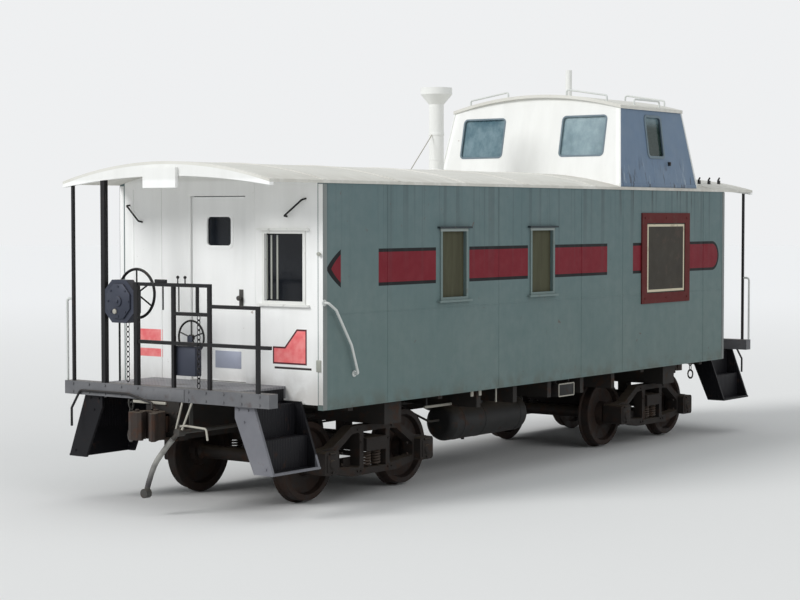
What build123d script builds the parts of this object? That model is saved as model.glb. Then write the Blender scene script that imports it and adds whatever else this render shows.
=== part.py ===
from build123d import *
import os
from math import cos, radians, sin, tan

os.makedirs("parts", exist_ok=True)

# A steel railway caboose with an offset cupola and an open platform at each end.
# Millimetres. X runs along the car, Y across it, Z up from the wheel flanges' tips.
# The hand brake that faces -X belongs to the B end, and the A end is the B end turned half round.

# Wheels and axles
flange_height = 25
tread_diameter = 838
back_to_back = 1353
wheel_width = 140
flange_corner = 8
flange_crest = 12
flange_root = 16
tread_taper = 2
rim_depth = 65
rim_chamfer = 8
plate_thickness = 30
plate_root = 20
hub_diameter = 280
hub_length = 178
hub_offset = 8
axle_diameter = 150
axle_taper = 40
wheel_seat_diameter = 180
journal_diameter = 140
journal_length = 250
journal_spacing = 1981

# Clearances
running_clearance = 0.1
seat_clearance = 0.3
box_clearance = 2

# Trucks, with heights from the axle up
wheelbase = 1676
truck_centres = 6096
frame_thickness = 130
frame_rise = 341
frame_drop = 194
frame_chord = 70
frame_column = 70
frame_knee = 130
frame_corner = 30
frame_opening_corner = 28
journal_box_length = 240
journal_box_height = 250
journal_box_lid = 25
journal_box_corner = 35
journal_end_gap = 5
box_heel = 15
box_shoulder = 30
opening_tip_height = 70
spring_height = 180
spring_diameter = 130
spring_offset = 85
bolster_width = 360
bolster_gap = 15
bolster_overhang = 30
bolster_depth = 160
bolster_end_depth = 140
bolster_belly = 75
bolster_belly_half = 430
bolster_waist_half = 700
bolster_top_half = 500
bowl_diameter = 400
bowl_wall = 40
bowl_depth = 40
centre_plate_diameter = 300
centre_plate_height = 81
side_bearing_y = 635
side_bearing_size = 130
side_bearing_gap = 8
shoe_gap = 8
shoe_thickness = 40
shoe_width = 75
shoe_inset = 15
shoe_angle = 36
shoe_tilt = 8
beam_diameter = 60
beam_drop = 60
beam_end_diameter = 40
beam_bite = 4
beam_guide_depth = 60
beam_guide_height = 95

# Car body, with heights from the deck up
body_length = 8763
body_width = 2845
wall_thickness = 70
platform_length = 838
deck_over_sill = 210
side_skirt = 224
end_skirt = 175
eave_height = 2102
roof_rise = 192
roof_overhang = 12.5
roof_thickness = 30
deck_thickness = 25
deck_width = 1850
floor_thickness = 60
fascia_thickness = 60
fascia_eave_depth = 62
fascia_crown_depth = 149

# Underframe
sill_width = 330
sill_depth = 324
body_bolster_length = 300
body_bolster_width = 2600
body_bolster_rise = 59
end_sill_length = 130
end_sill_depth = 140
striker_width = 460
cross_member_length = 80
deep_member_depth = 365
shallow_member_depth = 210
deep_member_pitch = 750
shallow_member_places = (2250, 3850)
stringer_width = 50
stringer_depth = 100

# Cupola, with its window height below its eaves
cupola_setback = 771.5
cupola_base_length = 2032
cupola_base_inset = 22.5
cupola_end_lean = 220
cupola_side_lean = 135
cupola_base_rise = 33
cupola_height = 1051
cupola_roof_rise = 166
cupola_wall = 60
cupola_roof_thickness = 40
cupola_roof_overhang = 25
cupola_end_window = (660, 520)
cupola_end_window_edge = 165
cupola_side_window = (420, 540)
cupola_window_drop = 388
cupola_window_corner = 60
pane_thickness = 12
pane_depth = 22

# Windows and doors, with heights above the deck
side_window = (458, 723)
side_window_height = 1210
first_window_from_end = 2290.5
window_spacing = 1811
end_window = (510, 690)
end_window_y = 910
end_window_height = 1215
frame_border = 32
frame_projection = 14
drip_overhang = 50
drip_height = 22
drip_projection = 40
door_width = 760
door_height = 1932
door_thickness = 45
door_gap = 8
door_window = (330, 300)
door_window_height = 1580
door_window_corner = 40
hinge_barrel_diameter = 20
hinge_gap = 3
hinge_setback = 2
hinge_leaf_thickness = 6
hinge_knuckle_length = 60
hinge_leaf_length = 30
hinge_leaf_reach = 45
hinge_shares = (0.12, 0.5, 0.88)

# Platform railings: each post's place across the A end, its width and its height above the deck
post_inset = 30
rail_size = 36
brake_post = {"y": -850, "width": 55}
corner_post = {"y": -1310, "width": 30}
hinge_post = {"y": -385, "width": 50, "height": 1060}
gate_post = {"y": 130, "width": 36, "height": 1060}
latch_post = {"y": 620, "width": 36, "height": 1060}
side_post = {"y": 1257, "width": 36, "height": 855}
top_rail_height = 1042
gate_rail_height = 753
side_rail_height = 837
middle_rail_height = 452
middle_rail_inset = 2.5

# Hand brake
brake_housing_depth = 110
brake_housing_height = 635
brake_housing_rise = 445
brake_housing_corner = 105
brake_housing_proud = 25
brake_wheel_diameter = 540
brake_wheel_rim = 30
brake_wheel_hub = 80
brake_wheel_spokes = 6
brake_spoke_diameter = 18
brake_wheel_height = 930
brake_shaft_diameter = 34
brake_shaft_length = 135

# Steps and handles
step_width = 740
step_start = 40
step_stringer = 30
step_stringer_width = 250
step_stringer_drop = 120
step_tread = 20
step_count = 3
first_step_drop = 162
step_rise = 313
handle_diameter = 28
handle_standoff = 55
handle_bend = 22
post_handle_height = 870
post_handle_bend = 40
# The corner handrail's bends: distance in from the body's end, height above the deck
corner_handrail_bends = [(13.5, 865), (141.5, 788), (391.5, 420), (501.5, 120)]

# Coupler, uncoupling lever and brake pipe
coupler_height = 876
coupler_head_height = 280
shank_width = 130
shank_height = 160
shank_length = 560
shank_reach = 80
pocket_clearance = 25
knuckle_lug_radius = 55
knuckle_lug_height = 40
knuckle_lug_place = (238, -125)
knuckle_lug_root = (180, -120)
knuckle_lug_root_size = (60, 90)
casting_corner = 10
# Plan outlines of the coupler's head and knuckle: distance out from the end sill, place across
head_outline = [(40, -80), (40, 80), (110, 135), (220, 150), (335, 212), (362, 190), (305, 95), (190, 55),
                (165, -35), (178, -165), (100, -150)]
knuckle_outline = [(182, -50), (188, -172), (250, -188), (318, -172), (352, -110), (352, -20), (332, 24),
                   (296, 20), (292, -40), (262, -62)]
lever_diameter = 26
lever_bend = 35
lever_reach = 60
lever_lift = 60
lever_pin = (120, -30)
lever_elbow_y = -80
lever_bearing_y = (-480, -1180)
lever_bearing_rise = 45
lever_handle_y = -1260
lever_handle_drop = (140, 330)
pipe_diameter = 42
pipe_bend = 150
pipe_y = 330
pipe_drop = 430
pipe_crossing_x = 600
pipe_reach = 60
cock_length = 90
cock_diameter = 80
cock_handle_diameter = 30
cock_handle_height = 75
cock_handle_x = 40
cock_overlap = 10
nipple_wall = 4
nipple_overlap = 30
nipple_length = 60
hanger_size = (50, 12)
hose_diameter = 56
hose_angle = 50
hose_inward_turn = 60
hose_first_run = 165
# The hose's lower points: distance out from its nipple, across and down
hose_bends = [(110, -180, 295), (140, -215, 478)]
gladhand_length = 110
gladhand_thickness = 70
gladhand_collar = 45
gladhand_neck_diameter = 40
gladhand_palm_diameter = 95
gladhand_palm_place = 70

# Roof, side and underframe fittings
smoke_jack_place = (410, 600)
smoke_pipe_diameter = 188
smoke_pipe_height = 1048
smoke_pipe_seat = 20
smoke_cap_diameter = 400
smoke_cap_flare = 126
smoke_cap_band = 84
roof_vent_offset = 28
roof_vent_diameter = 85
roof_vent_height = 537
roof_rail_diameter = 24
roof_rail_height = 75
roof_rail_bend = 30
roof_rail_end_inset = 40
roof_rail_side_inset = 60
roof_rail_end_span = (450, 1050)
roof_rail_side_half = 330
sign_from_end = 1661.5
sign_height = 1198
sign_size = (1280, 1165)
sign_border = 130
sign_thickness = 10
sign_border_height = 8
light_box_width = 454
light_box_height = 205
light_box_depth = 40
light_box_drop = 78
tank_diameter = 430
tank_span = (-1430, 170)
tank_inset = 672.5
tank_dome = 90
tank_gap = 5
saddle_size = (80, 240)
cylinder_diameter = 300
cylinder_length = 450
cylinder_x = 750
cylinder_inset = 662.5
cylinder_flange = (25, 50)
push_rod_length = 330
push_rod_diameter = 45
brake_lever_size = (60, 25)
brake_lever_reach = (420, 60)

# Levels, from the rail up
rail_z = flange_height
axle_z = rail_z + tread_diameter / 2
frame_top_z = axle_z + frame_rise
frame_bottom_z = axle_z - frame_drop
spring_seat_z = frame_bottom_z + frame_chord
window_top_z = frame_top_z - frame_chord
bolster_bottom_z = spring_seat_z + spring_height
bolster_top_z = bolster_bottom_z + bolster_depth
sill_bottom_z = bolster_top_z + centre_plate_height
sill_top_z = sill_bottom_z + sill_depth
deck_z = sill_top_z + deck_over_sill
deck_bottom_z = deck_z - deck_thickness
end_sill_bottom_z = deck_z - end_sill_depth
floor_bottom_z = deck_z - floor_thickness
body_bolster_bottom_z = sill_bottom_z + body_bolster_rise
deep_bottom_z = floor_bottom_z - deep_member_depth
shallow_bottom_z = floor_bottom_z - shallow_member_depth
side_bottom_z = deck_z - side_skirt
end_wall_bottom_z = deck_z - end_skirt
roof_eave_z = deck_z + eave_height
roof_crown_z = roof_eave_z + roof_rise
fascia_eave_z = roof_eave_z - fascia_eave_depth
fascia_crown_z = roof_crown_z - fascia_crown_depth
cupola_base_z = roof_eave_z + cupola_base_rise
cupola_eave_z = roof_eave_z + cupola_height
cupola_crown_z = cupola_eave_z + cupola_roof_rise
coupler_z = rail_z + coupler_height
pipe_z = deck_z - pipe_drop

# Places along and across the car
body_end = body_length / 2
body_side = body_width / 2
car_end = body_end + platform_length
deck_end = car_end - end_sill_length
inner_side = body_side - wall_thickness
inner_end = body_end - wall_thickness
roof_width = body_width + 2 * roof_overhang
truck_x = truck_centres / 2
post_x = car_end - post_inset
cupola_base_width = body_width - 2 * cupola_base_inset
cupola_top_length = cupola_base_length - 2 * cupola_end_lean
cupola_top_width = cupola_base_width - 2 * cupola_side_lean
cupola_end_window_y = cupola_top_width / 2 - cupola_end_window_edge - cupola_end_window[0] / 2
cupola_centre_x = body_end - cupola_setback - cupola_base_length / 2


# Shared shapes

def block(x, y, z):
    """A box between a low and a high value along each axis."""
    size = [span[1] - span[0] for span in (x, y, z)]
    middle = [(span[1] + span[0]) / 2 for span in (x, y, z)]
    return Pos(*middle) * Box(*size)


def centred(half):
    """The span from -half to half."""
    return (-half, half)


def around(middle, length):
    """The span of a length about its middle."""
    return (middle - length / 2, middle + length / 2)


def rod(start, end, diameter):
    """A round bar from one point to another."""
    run = Vector(*end) - Vector(*start)
    place = Plane(origin=start, z_dir=run)
    return place * Cylinder(diameter / 2, run.length, align=(Align.CENTER, Align.CENTER, Align.MIN))


def pillar(x, y, z, diameter):
    """An upright round bar between two levels."""
    return rod((x, y, z[0]), (x, y, z[1]), diameter)


def bent_rod(points, diameter, bend):
    """A round bar along straight runs that meet in arcs of one radius, or of a list of radii."""
    path = FilletPolyline(*points, radius=bend)
    section = Plane(origin=path @ 0, z_dir=path % 0) * Circle(diameter / 2)
    return sweep(section, path=path)


def rounded_outline(points, radius):
    """A closed outline with every corner rounded."""
    face = make_face(Polyline(*points, close=True))
    return fillet(face.vertices(), radius)


def turned(shape):
    """The same shape at the car's other end."""
    return Rot(0, 0, 180) * shape


def both_ends(shape):
    """A shape of the A end with its half turned copy at the B end."""
    return [shape, turned(shape)]


def mirrored(shape):
    """The same shape on the car's other side."""
    return mirror(shape, about=Plane.XZ)


def arch_region(width, eave_z, crown_z, drop, x):
    """What lies under an arched roof line that is lowered by a drop."""
    rise = crown_z - eave_z
    radius = ((width / 2) ** 2 + rise ** 2) / (2 * rise)
    drum = Rot(0, 90, 0) * Cylinder(radius - drop, x[1] - x[0])
    return Pos((x[0] + x[1]) / 2, 0, crown_z - radius) * drum


def car_arch(drop):
    return arch_region(roof_width, roof_eave_z, roof_crown_z, drop, centred(car_end))


def window_prism(size, corner, length):
    """A rounded rectangle of width X and height Y, drawn out both ways along Z."""
    return extrude(RectangleRounded(size[0], size[1], corner), length / 2, both=True)


def save(node, shapes):
    """Writes one node, whose like solids lie side by side."""
    solids = [solid for shape in shapes for solid in shape.solids()]
    export_step(solids[0] if len(solids) == 1 else Compound(solids), f"parts/{node}.step")


# Wheels and axles

tread_radius = tread_diameter / 2
flange_radius = tread_radius + flange_height
wheel_back = back_to_back / 2
rim_outer = wheel_back + wheel_width
hub_inner = wheel_back - hub_offset
hub_outer = hub_inner + hub_length
axle_half = (journal_spacing + journal_length) / 2
journal_inner = (journal_spacing - journal_length) / 2


def turned_part(profile):
    """Revolves a profile of (place along the axle, radius) points about the axle."""
    face = make_face(Polyline(*profile, close=True))
    return Rot(0, 0, 90) * revolve(face, axis=Axis.X)


def wheel():
    rim_inner = tread_radius - rim_depth
    plate_low = wheel_back + wheel_width / 2 - plate_thickness / 2
    plate_high = plate_low + plate_thickness
    bore = wheel_seat_diameter / 2
    hub = hub_diameter / 2
    crest = wheel_back + flange_corner + flange_crest
    inner_face = [(hub_inner, bore), (hub_inner, hub), (plate_low, hub + plate_root),
                  (plate_low, rim_inner - plate_root), (wheel_back, rim_inner)]
    flange = [(wheel_back, flange_radius - flange_corner), (wheel_back + flange_corner, flange_radius),
              (crest, flange_radius), (crest + flange_root, tread_radius + tread_taper)]
    tread = [(rim_outer - rim_chamfer, tread_radius - tread_taper), (rim_outer, tread_radius - rim_chamfer)]
    outer_face = [(rim_outer, rim_inner), (plate_high, rim_inner - plate_root),
                  (plate_high, hub + plate_root), (hub_outer, hub), (hub_outer, bore)]
    return turned_part(inner_face + flange + tread + outer_face)


def axle():
    body = axle_diameter / 2
    seat = wheel_seat_diameter / 2
    journal = journal_diameter / 2
    half = [
        (hub_inner - axle_taper, body), (hub_inner, seat), (hub_outer, seat),
        (journal_inner, journal), (axle_half, journal), (axle_half, 0),
    ]
    other_half = [(-place, radius) for place, radius in reversed(half)]
    return turned_part(other_half + half)


wheel_pair = [wheel(), mirrored(wheel())]
one_axle = axle()

# Truck: side frames, bolster, springs and brake beams about its own centre

frame_y = journal_spacing / 2
frame_inner_y = frame_y - frame_thickness / 2
frame_outer_y = frame_y + frame_thickness / 2
box_inner_y = journal_inner + box_clearance
box_outer_y = axle_half + journal_box_lid
half_base = wheelbase / 2
window_half = bolster_width / 2 + bolster_gap
column_x = window_half + frame_column
shoe_inner_radius = tread_radius + shoe_gap
shoe_outer_radius = shoe_inner_radius + shoe_thickness
beam_x = half_base - shoe_outer_radius - beam_diameter / 2 + beam_bite
beam_z = axle_z - beam_drop


def side_frame():
    """The +Y side's casting: two chords that part about the bolster, and a box at each journal."""
    box_edge = half_base + journal_box_length / 2
    box_root = half_base - journal_box_length / 2
    box_top = axle_z + journal_box_height / 2
    box_bottom = axle_z - journal_box_height / 2
    knee = column_x + frame_knee
    right = [
        (knee, frame_bottom_z), (box_root, box_bottom), (box_edge, box_bottom + box_heel),
        (box_edge, box_top), (box_root, box_top + box_shoulder), (knee, frame_top_z),
    ]
    left = [(-place, height) for place, height in reversed(right)]
    cast = extrude(Plane.XZ * rounded_outline(right + left, frame_corner), frame_thickness / 2, both=True)
    opening = block(centred(window_half), centred(frame_thickness), (spring_seat_z, window_top_z))
    tip_x = box_root - box_shoulder
    side_opening = rounded_outline([
        (column_x, spring_seat_z + box_heel), (column_x, window_top_z), (knee, window_top_z - box_heel),
        (tip_x, axle_z + opening_tip_height), (tip_x, axle_z - opening_tip_height),
    ], frame_opening_corner)
    hole = extrude(Plane.XZ * side_opening, frame_thickness, both=True)
    cast = Pos(0, frame_y, 0) * (cast - opening - hole - mirror(hole, about=Plane.YZ))
    guide_y = (frame_inner_y - beam_guide_depth, frame_inner_y)
    bore_y = (box_inner_y, axle_half + journal_end_gap)
    for side in (-1, 1):
        axle_x = side * half_base
        box_z = (box_bottom, box_top)
        box = block(around(axle_x, journal_box_length), (box_inner_y, box_outer_y), box_z)
        cast += fillet(box.edges().filter_by(Axis.Y), journal_box_corner)
        guide_x = sorted((side * window_half, side * (beam_x + beam_end_diameter)))
        cast += block(guide_x, guide_y, around(beam_z, beam_guide_height))
        cast -= rod((side * beam_x, guide_y[0], beam_z), (side * beam_x, guide_y[1], beam_z),
                    beam_end_diameter + 2 * seat_clearance)
        cast -= rod((axle_x, bore_y[0], axle_z), (axle_x, bore_y[1], axle_z),
                    journal_diameter + 2 * running_clearance)
    return cast


def truck_bolster():
    """The cross beam with its raised bowl and two side bearings."""
    end_y = frame_outer_y + bolster_overhang
    belly_z = bolster_bottom_z - bolster_belly
    end_top_z = bolster_bottom_z + bolster_end_depth
    right = [(bolster_belly_half, belly_z), (bolster_waist_half, bolster_bottom_z),
             (end_y, bolster_bottom_z), (end_y, end_top_z), (bolster_top_half, bolster_top_z)]
    left = [(-place, height) for place, height in reversed(right)]
    outline = make_face(Polyline(*(right + left), close=True))
    beam = extrude(Plane.YZ * outline, bolster_width / 2, both=True)
    bowl_z = (bolster_top_z, bolster_top_z + bowl_depth)
    beam += pillar(0, 0, bowl_z, bowl_diameter) - pillar(0, 0, bowl_z, bowl_diameter - 2 * bowl_wall)
    bearing_z = (bolster_bottom_z, body_bolster_bottom_z - side_bearing_gap)
    for side in (-side_bearing_y, side_bearing_y):
        beam += block(around(0, side_bearing_size), around(side, side_bearing_size), bearing_z)
    return beam


def spring_group():
    spring_z = (spring_seat_z, bolster_bottom_z)
    corners = [(x, y) for x in centred(spring_offset) for y in centred(frame_y)]
    return [pillar(x, y, spring_z, spring_diameter) for x, y in corners]


def brake_beam():
    """The beam between the bolster and the wheels towards +X, with a shoe before each tread."""
    shoe_y = rim_outer - shoe_width / 2 - shoe_inset
    end_y = frame_inner_y - seat_clearance
    beam = rod((beam_x, -shoe_y, beam_z), (beam_x, shoe_y, beam_z), beam_diameter)
    beam += rod((beam_x, -end_y, beam_z), (beam_x, end_y, beam_z), beam_end_diameter)
    start_angle = 180 - shoe_angle / 2 + shoe_tilt
    front = CenterArc((0, 0), shoe_inner_radius, start_angle, shoe_angle)
    back = CenterArc((0, 0), shoe_outer_radius, start_angle, shoe_angle)
    shoe_face = make_face([front, back, Line(front @ 0, back @ 0), Line(front @ 1, back @ 1)])
    shoe = extrude(Plane.XZ * shoe_face, shoe_width / 2, both=True)
    for side in (-shoe_y, shoe_y):
        beam += Pos(half_base, side, axle_z) * shoe
    return beam


side_frames = [side_frame(), mirrored(side_frame())]
bolster = truck_bolster()
springs = spring_group()
brake_beams = [brake_beam(), mirror(brake_beam(), about=Plane.YZ)]
for end, x in (("b", -truck_x), ("a", truck_x)):
    place = Pos(x, 0, 0)
    save(f"side_frames_{end}", [place * part for part in side_frames])
    save(f"truck_bolster_{end}", [place * bolster])
    save(f"springs_{end}", [place * part for part in springs])
    save(f"brake_beams_{end}", [place * part for part in brake_beams])
axle_places = [side * truck_x + step * half_base for side in (-1, 1) for step in (-1, 1)]
for number, x in enumerate(axle_places, start=1):
    place = Pos(x, 0, axle_z)
    save(f"wheels_{number}", [place * part for part in wheel_pair])
    save(f"axle_{number}", [place * one_axle])

# Underframe, floor and platforms

pipe_end = car_end + pipe_reach
pipe_points = [(-pipe_end, -pipe_y, pipe_z), (-pipe_crossing_x, -pipe_y, pipe_z),
               (pipe_crossing_x, pipe_y, pipe_z), (pipe_end, pipe_y, pipe_z)]
pipe_way = bent_rod(pipe_points, pipe_diameter + 2 * seat_clearance, pipe_bend)
sill_half = sill_width / 2


def centre_sill():
    """The box sill with its centre plates, draft sills, strikers and the couplers' pockets."""
    sill = block(centred(inner_end), centred(sill_half), (sill_bottom_z, sill_top_z))
    plate_z = (bolster_top_z + seat_clearance, sill_bottom_z)
    draft = pillar(truck_x, 0, plate_z, centre_plate_diameter)
    draft += block((inner_end, car_end), centred(sill_half), (sill_bottom_z, end_wall_bottom_z))
    draft += block((deck_end, car_end), centred(striker_width / 2), (sill_bottom_z, end_sill_bottom_z))
    pocket_half = shank_width / 2 + pocket_clearance
    pocket_z = (coupler_z - shank_height / 2, coupler_z + shank_height / 2 + pocket_clearance)
    pocket = block((car_end - shank_length - pocket_clearance, car_end), centred(pocket_half), pocket_z)
    for part in both_ends(draft):
        sill += part
    for part in both_ends(pocket):
        sill -= part
    return sill - pipe_way


def cross_members():
    """The body bolsters and cross members, each in two arms that butt against the centre sill."""
    bolsters = [(side * truck_x, body_bolster_length, body_bolster_width / 2, body_bolster_bottom_z)
                for side in (-1, 1)]
    deep = [(step * deep_member_pitch, cross_member_length, inner_side, deep_bottom_z)
            for step in (-2, -1, 0, 1, 2)]
    shallow = [(side * place, cross_member_length, inner_side, shallow_bottom_z)
               for place in shallow_member_places for side in (-1, 1)]
    arms = []
    for x, length, reach, low_z in bolsters + deep + shallow:
        arm = block(around(x, length), (sill_half, reach), (low_z, floor_bottom_z))
        arms += [arm - pipe_way, mirrored(arm) - pipe_way]
    return arms


def end_sill():
    return block((deck_end, car_end), centred(body_side), (end_sill_bottom_z, deck_z))


def deck_stringer():
    """The beam under the deck's +Y edge at the A end."""
    y = (deck_width / 2 - stringer_width, deck_width / 2)
    return block((body_end, deck_end - seat_clearance), y, (deck_bottom_z - stringer_depth, deck_bottom_z))


stringers = [deck_stringer(), mirrored(deck_stringer())]
save("centre_sill", [centre_sill()])
save("cross_members", cross_members())
save("end_sills", both_ends(end_sill()) + both_ends(Compound(stringers)))
save("floor", [block(centred(inner_end), centred(inner_side), (floor_bottom_z, deck_z))])
deck_plate = block((body_end, deck_end), centred(deck_width / 2), (deck_bottom_z, deck_z))
save("platform_decks", both_ends(deck_plate))

# Car body walls

door_z = (deck_z + door_gap, deck_z + door_gap + door_height)
window_places = [-body_end + first_window_from_end, -body_end + first_window_from_end + window_spacing]
side_window_z = deck_z + side_window_height
end_window_z = deck_z + end_window_height


def side_wall():
    """The wall towards -Y with its two window openings."""
    wall = block(centred(body_end), (-body_side, -inner_side), (side_bottom_z, roof_crown_z))
    wall = wall & car_arch(roof_thickness)
    window_z = around(side_window_z, side_window[1])
    for x in window_places:
        wall -= block(around(x, side_window[0]), (-body_side, -inner_side), window_z)
    return wall


hinge_x = inner_end - hinge_barrel_diameter / 2
hinge_y = -door_width / 2 - hinge_gap
hinge_radius = hinge_barrel_diameter / 2
jamb_y = -door_width / 2 - door_gap
hinge_places = [door_z[0] + share * door_height for share in hinge_shares]


def door_hinge(height):
    """The door's half of a hinge: its barrel and the leaf on the door."""
    z = around(height, hinge_knuckle_length)
    leaf_x = inner_end + hinge_leaf_thickness
    barrel = pillar(hinge_x, hinge_y, z, hinge_barrel_diameter)
    barrel += block((hinge_x, leaf_x), (hinge_y, hinge_y + hinge_radius), z)
    return barrel + block((inner_end, leaf_x), (hinge_y, hinge_y + hinge_leaf_reach), z)


def wall_hinge(height, side):
    """One of the wall's two knuckles of a hinge, above or below the door's barrel."""
    shift = (hinge_knuckle_length + hinge_leaf_length) / 2 + seat_clearance
    z = around(height + side * shift, hinge_leaf_length)
    reach_y = (hinge_y - hinge_leaf_reach, jamb_y - hinge_setback)
    knuckle = pillar(hinge_x, hinge_y, z, hinge_barrel_diameter)
    knuckle += block((hinge_x, inner_end), (hinge_y - hinge_radius, jamb_y - hinge_setback), z)
    return knuckle + block((inner_end - hinge_leaf_thickness, inner_end), reach_y, z)


def end_wall():
    """The wall of the A end with its doorway and its one window."""
    x = (inner_end, body_end)
    wall = block(x, centred(inner_side), (end_wall_bottom_z, roof_crown_z)) & car_arch(roof_thickness)
    wall -= block(x, centred(door_width / 2 + door_gap), (deck_z, door_z[1] + door_gap))
    wall -= block(x, around(end_window_y, end_window[0]), around(end_window_z, end_window[1]))
    for height in hinge_places:
        for side in (-1, 1):
            wall += wall_hinge(height, side)
    return wall


door_middle_x = inner_end + door_thickness / 2
door_window_z = deck_z + door_window_height
facing_end = Rot(0, 90, 0) * Rot(0, 0, 90)


def door():
    """The A end's door leaf with its window opening and its hinge barrels."""
    leaf = block((inner_end, inner_end + door_thickness), centred(door_width / 2), door_z)
    opening = window_prism(door_window, door_window_corner, 2 * door_thickness)
    leaf -= Pos(door_middle_x, 0, door_window_z) * facing_end * opening
    for height in hinge_places:
        leaf += door_hinge(height)
    return leaf


def door_pane():
    """The door's glass, which fills its window opening halfway through the leaf."""
    pane = window_prism(door_window, door_window_corner, pane_thickness)
    return Pos(door_middle_x, 0, door_window_z) * facing_end * pane


right_wall = side_wall()
save("side_wall_right", [right_wall])
save("side_wall_left", [mirrored(right_wall)])
for part, shape in (("end_wall", end_wall()), ("door", door()), ("door_pane", door_pane())):
    save(f"{part}_a", [shape])
    save(f"{part}_b", [turned(shape)])


def window_surround(size):
    """A raised frame about a window with its drip strip and sill, drawn on X and Z, facing -Y."""
    half_height = size[1] / 2 + frame_border
    half_width = size[0] / 2 + frame_border
    depth = (-frame_projection, 0)
    frame = block(centred(half_width), depth, centred(half_height))
    frame -= block(centred(size[0] / 2), depth, centred(size[1] / 2))
    for z in (half_height + drip_height / 2, -half_height - drip_height / 2):
        frame += block(centred(half_width + drip_overhang), (-drip_projection, 0), around(z, drip_height))
    return frame


def window_pane(size):
    return Pos(0, wall_thickness / 2, 0) * Box(size[0], pane_thickness, size[1])


side_places = [Pos(x, -body_side, side_window_z) for x in window_places]
side_surrounds = [place * window_surround(side_window) for place in side_places]
side_panes = [place * window_pane(side_window) for place in side_places]
end_place = Pos(body_end, end_window_y, end_window_z) * Rot(0, 0, 90)
end_surround = end_place * window_surround(end_window)
left_surrounds = [mirrored(part) for part in side_surrounds]
left_panes = [mirrored(part) for part in side_panes]
save("window_frames", side_surrounds + left_surrounds + both_ends(end_surround))
save("side_window_panels", side_panes + left_panes)
save("end_window_panes", both_ends(end_place * window_pane(end_window)))

# Roof and cupola

cupola_window_z = cupola_eave_z - cupola_window_drop
over_roof = car_arch(0)


def cupola_body(inset_x, inset_y):
    """The cupola's tapered outside, or what lies inside it by an inset, from its floor to its crown."""
    rise = cupola_eave_z - cupola_base_z

    def level(z):
        share = (z - cupola_base_z) / rise
        length = cupola_base_length - 2 * share * cupola_end_lean - 2 * inset_x
        width = cupola_base_width - 2 * share * cupola_side_lean - 2 * inset_y
        return Plane.XY.offset(z) * Pos(cupola_centre_x, 0) * Rectangle(length, width)

    return loft([level(fascia_eave_z), level(cupola_crown_z)])


def cupola_arch(drop):
    x = around(cupola_centre_x, cupola_base_length)
    return arch_region(cupola_top_width, cupola_eave_z, cupola_crown_z, drop, x)


def main_roof():
    """The arched sheet from end to end, open under the cupola."""
    edge = block(centred(car_end), centred(roof_width / 2), (fascia_eave_z, roof_crown_z + roof_thickness))
    sheet = (over_roof - car_arch(roof_thickness)) & edge
    return sheet - cupola_body(cupola_wall, cupola_wall)


def roof_fascia():
    """The arched board across the A end, under the roof sheet."""
    x = (car_end - fascia_thickness, car_end)
    board = block(x, centred(roof_width / 2), (fascia_eave_z, roof_crown_z))
    below = arch_region(roof_width, fascia_eave_z, fascia_crown_z, 0, centred(car_end))
    return (board & car_arch(roof_thickness)) - below


cupola_shell = cupola_body(0, 0)
cupola_side_inner = cupola_body(0, cupola_wall)
cupola_inner = cupola_body(cupola_wall, cupola_wall)
under_cupola_roof = cupola_arch(cupola_roof_thickness)
end_window_shape = window_prism(cupola_end_window, cupola_window_corner, 2 * cupola_base_length)
side_window_shape = window_prism(cupola_side_window, cupola_window_corner, 2 * cupola_base_width)
end_cuts = [Pos(cupola_centre_x, y, cupola_window_z) * facing_end * end_window_shape
            for y in centred(cupola_end_window_y)]
side_cut = Pos(cupola_centre_x, 0, cupola_window_z) * Rot(90, 0, 0) * side_window_shape
cupola_sides = ((cupola_shell - cupola_side_inner) & under_cupola_roof) - over_roof - side_cut
cupola_ends = ((cupola_side_inner - cupola_inner) & under_cupola_roof) - over_roof
for cut in end_cuts:
    cupola_ends -= cut
pane_back = pane_depth + pane_thickness
glass_skin = cupola_body(pane_depth, pane_depth) - cupola_body(pane_back, pane_back)
cupola_roof_plan = block(around(cupola_centre_x, cupola_top_length + 2 * cupola_roof_overhang),
                         centred(cupola_top_width / 2 + cupola_roof_overhang),
                         (cupola_window_z, cupola_crown_z + cupola_roof_thickness))
cupola_roof = (cupola_arch(0) - under_cupola_roof) & cupola_roof_plan
save("roof", [main_roof()])
save("roof_fascias", both_ends(roof_fascia()))
save("cupola_sides", [cupola_sides])
save("cupola_ends", [cupola_ends])
save("cupola_panes", [glass_skin & cut for cut in end_cuts + [side_cut]])
save("cupola_roof", [cupola_roof])


def smoke_jack():
    """The stove pipe with its flared cap."""
    x, y = smoke_jack_place
    pipe_radius = smoke_pipe_diameter / 2
    cap_radius = smoke_cap_diameter / 2
    low_z = roof_eave_z - smoke_pipe_seat
    flare_z = roof_eave_z + smoke_pipe_height
    band_z = flare_z + smoke_cap_flare
    top_z = band_z + smoke_cap_band
    profile = [(0, low_z), (pipe_radius, low_z), (pipe_radius, flare_z), (cap_radius, band_z),
               (cap_radius, top_z), (0, top_z)]
    face = Plane.XZ * make_face(Polyline(*profile, close=True))
    return Pos(x, y, 0) * revolve(face, axis=Axis.Z) - over_roof


vent_x = cupola_centre_x + roof_vent_offset
vent = pillar(vent_x, 0, (cupola_eave_z, cupola_eave_z + roof_vent_height), roof_vent_diameter)
save("smoke_jack", [smoke_jack()])
save("roof_vent", [vent - cupola_arch(0)])


def arch_lift(y):
    """How far the cupola's roof stands over its eave at a place across the car."""
    return cupola_roof_rise * (1 - (2 * y / cupola_top_width) ** 2)


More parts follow.
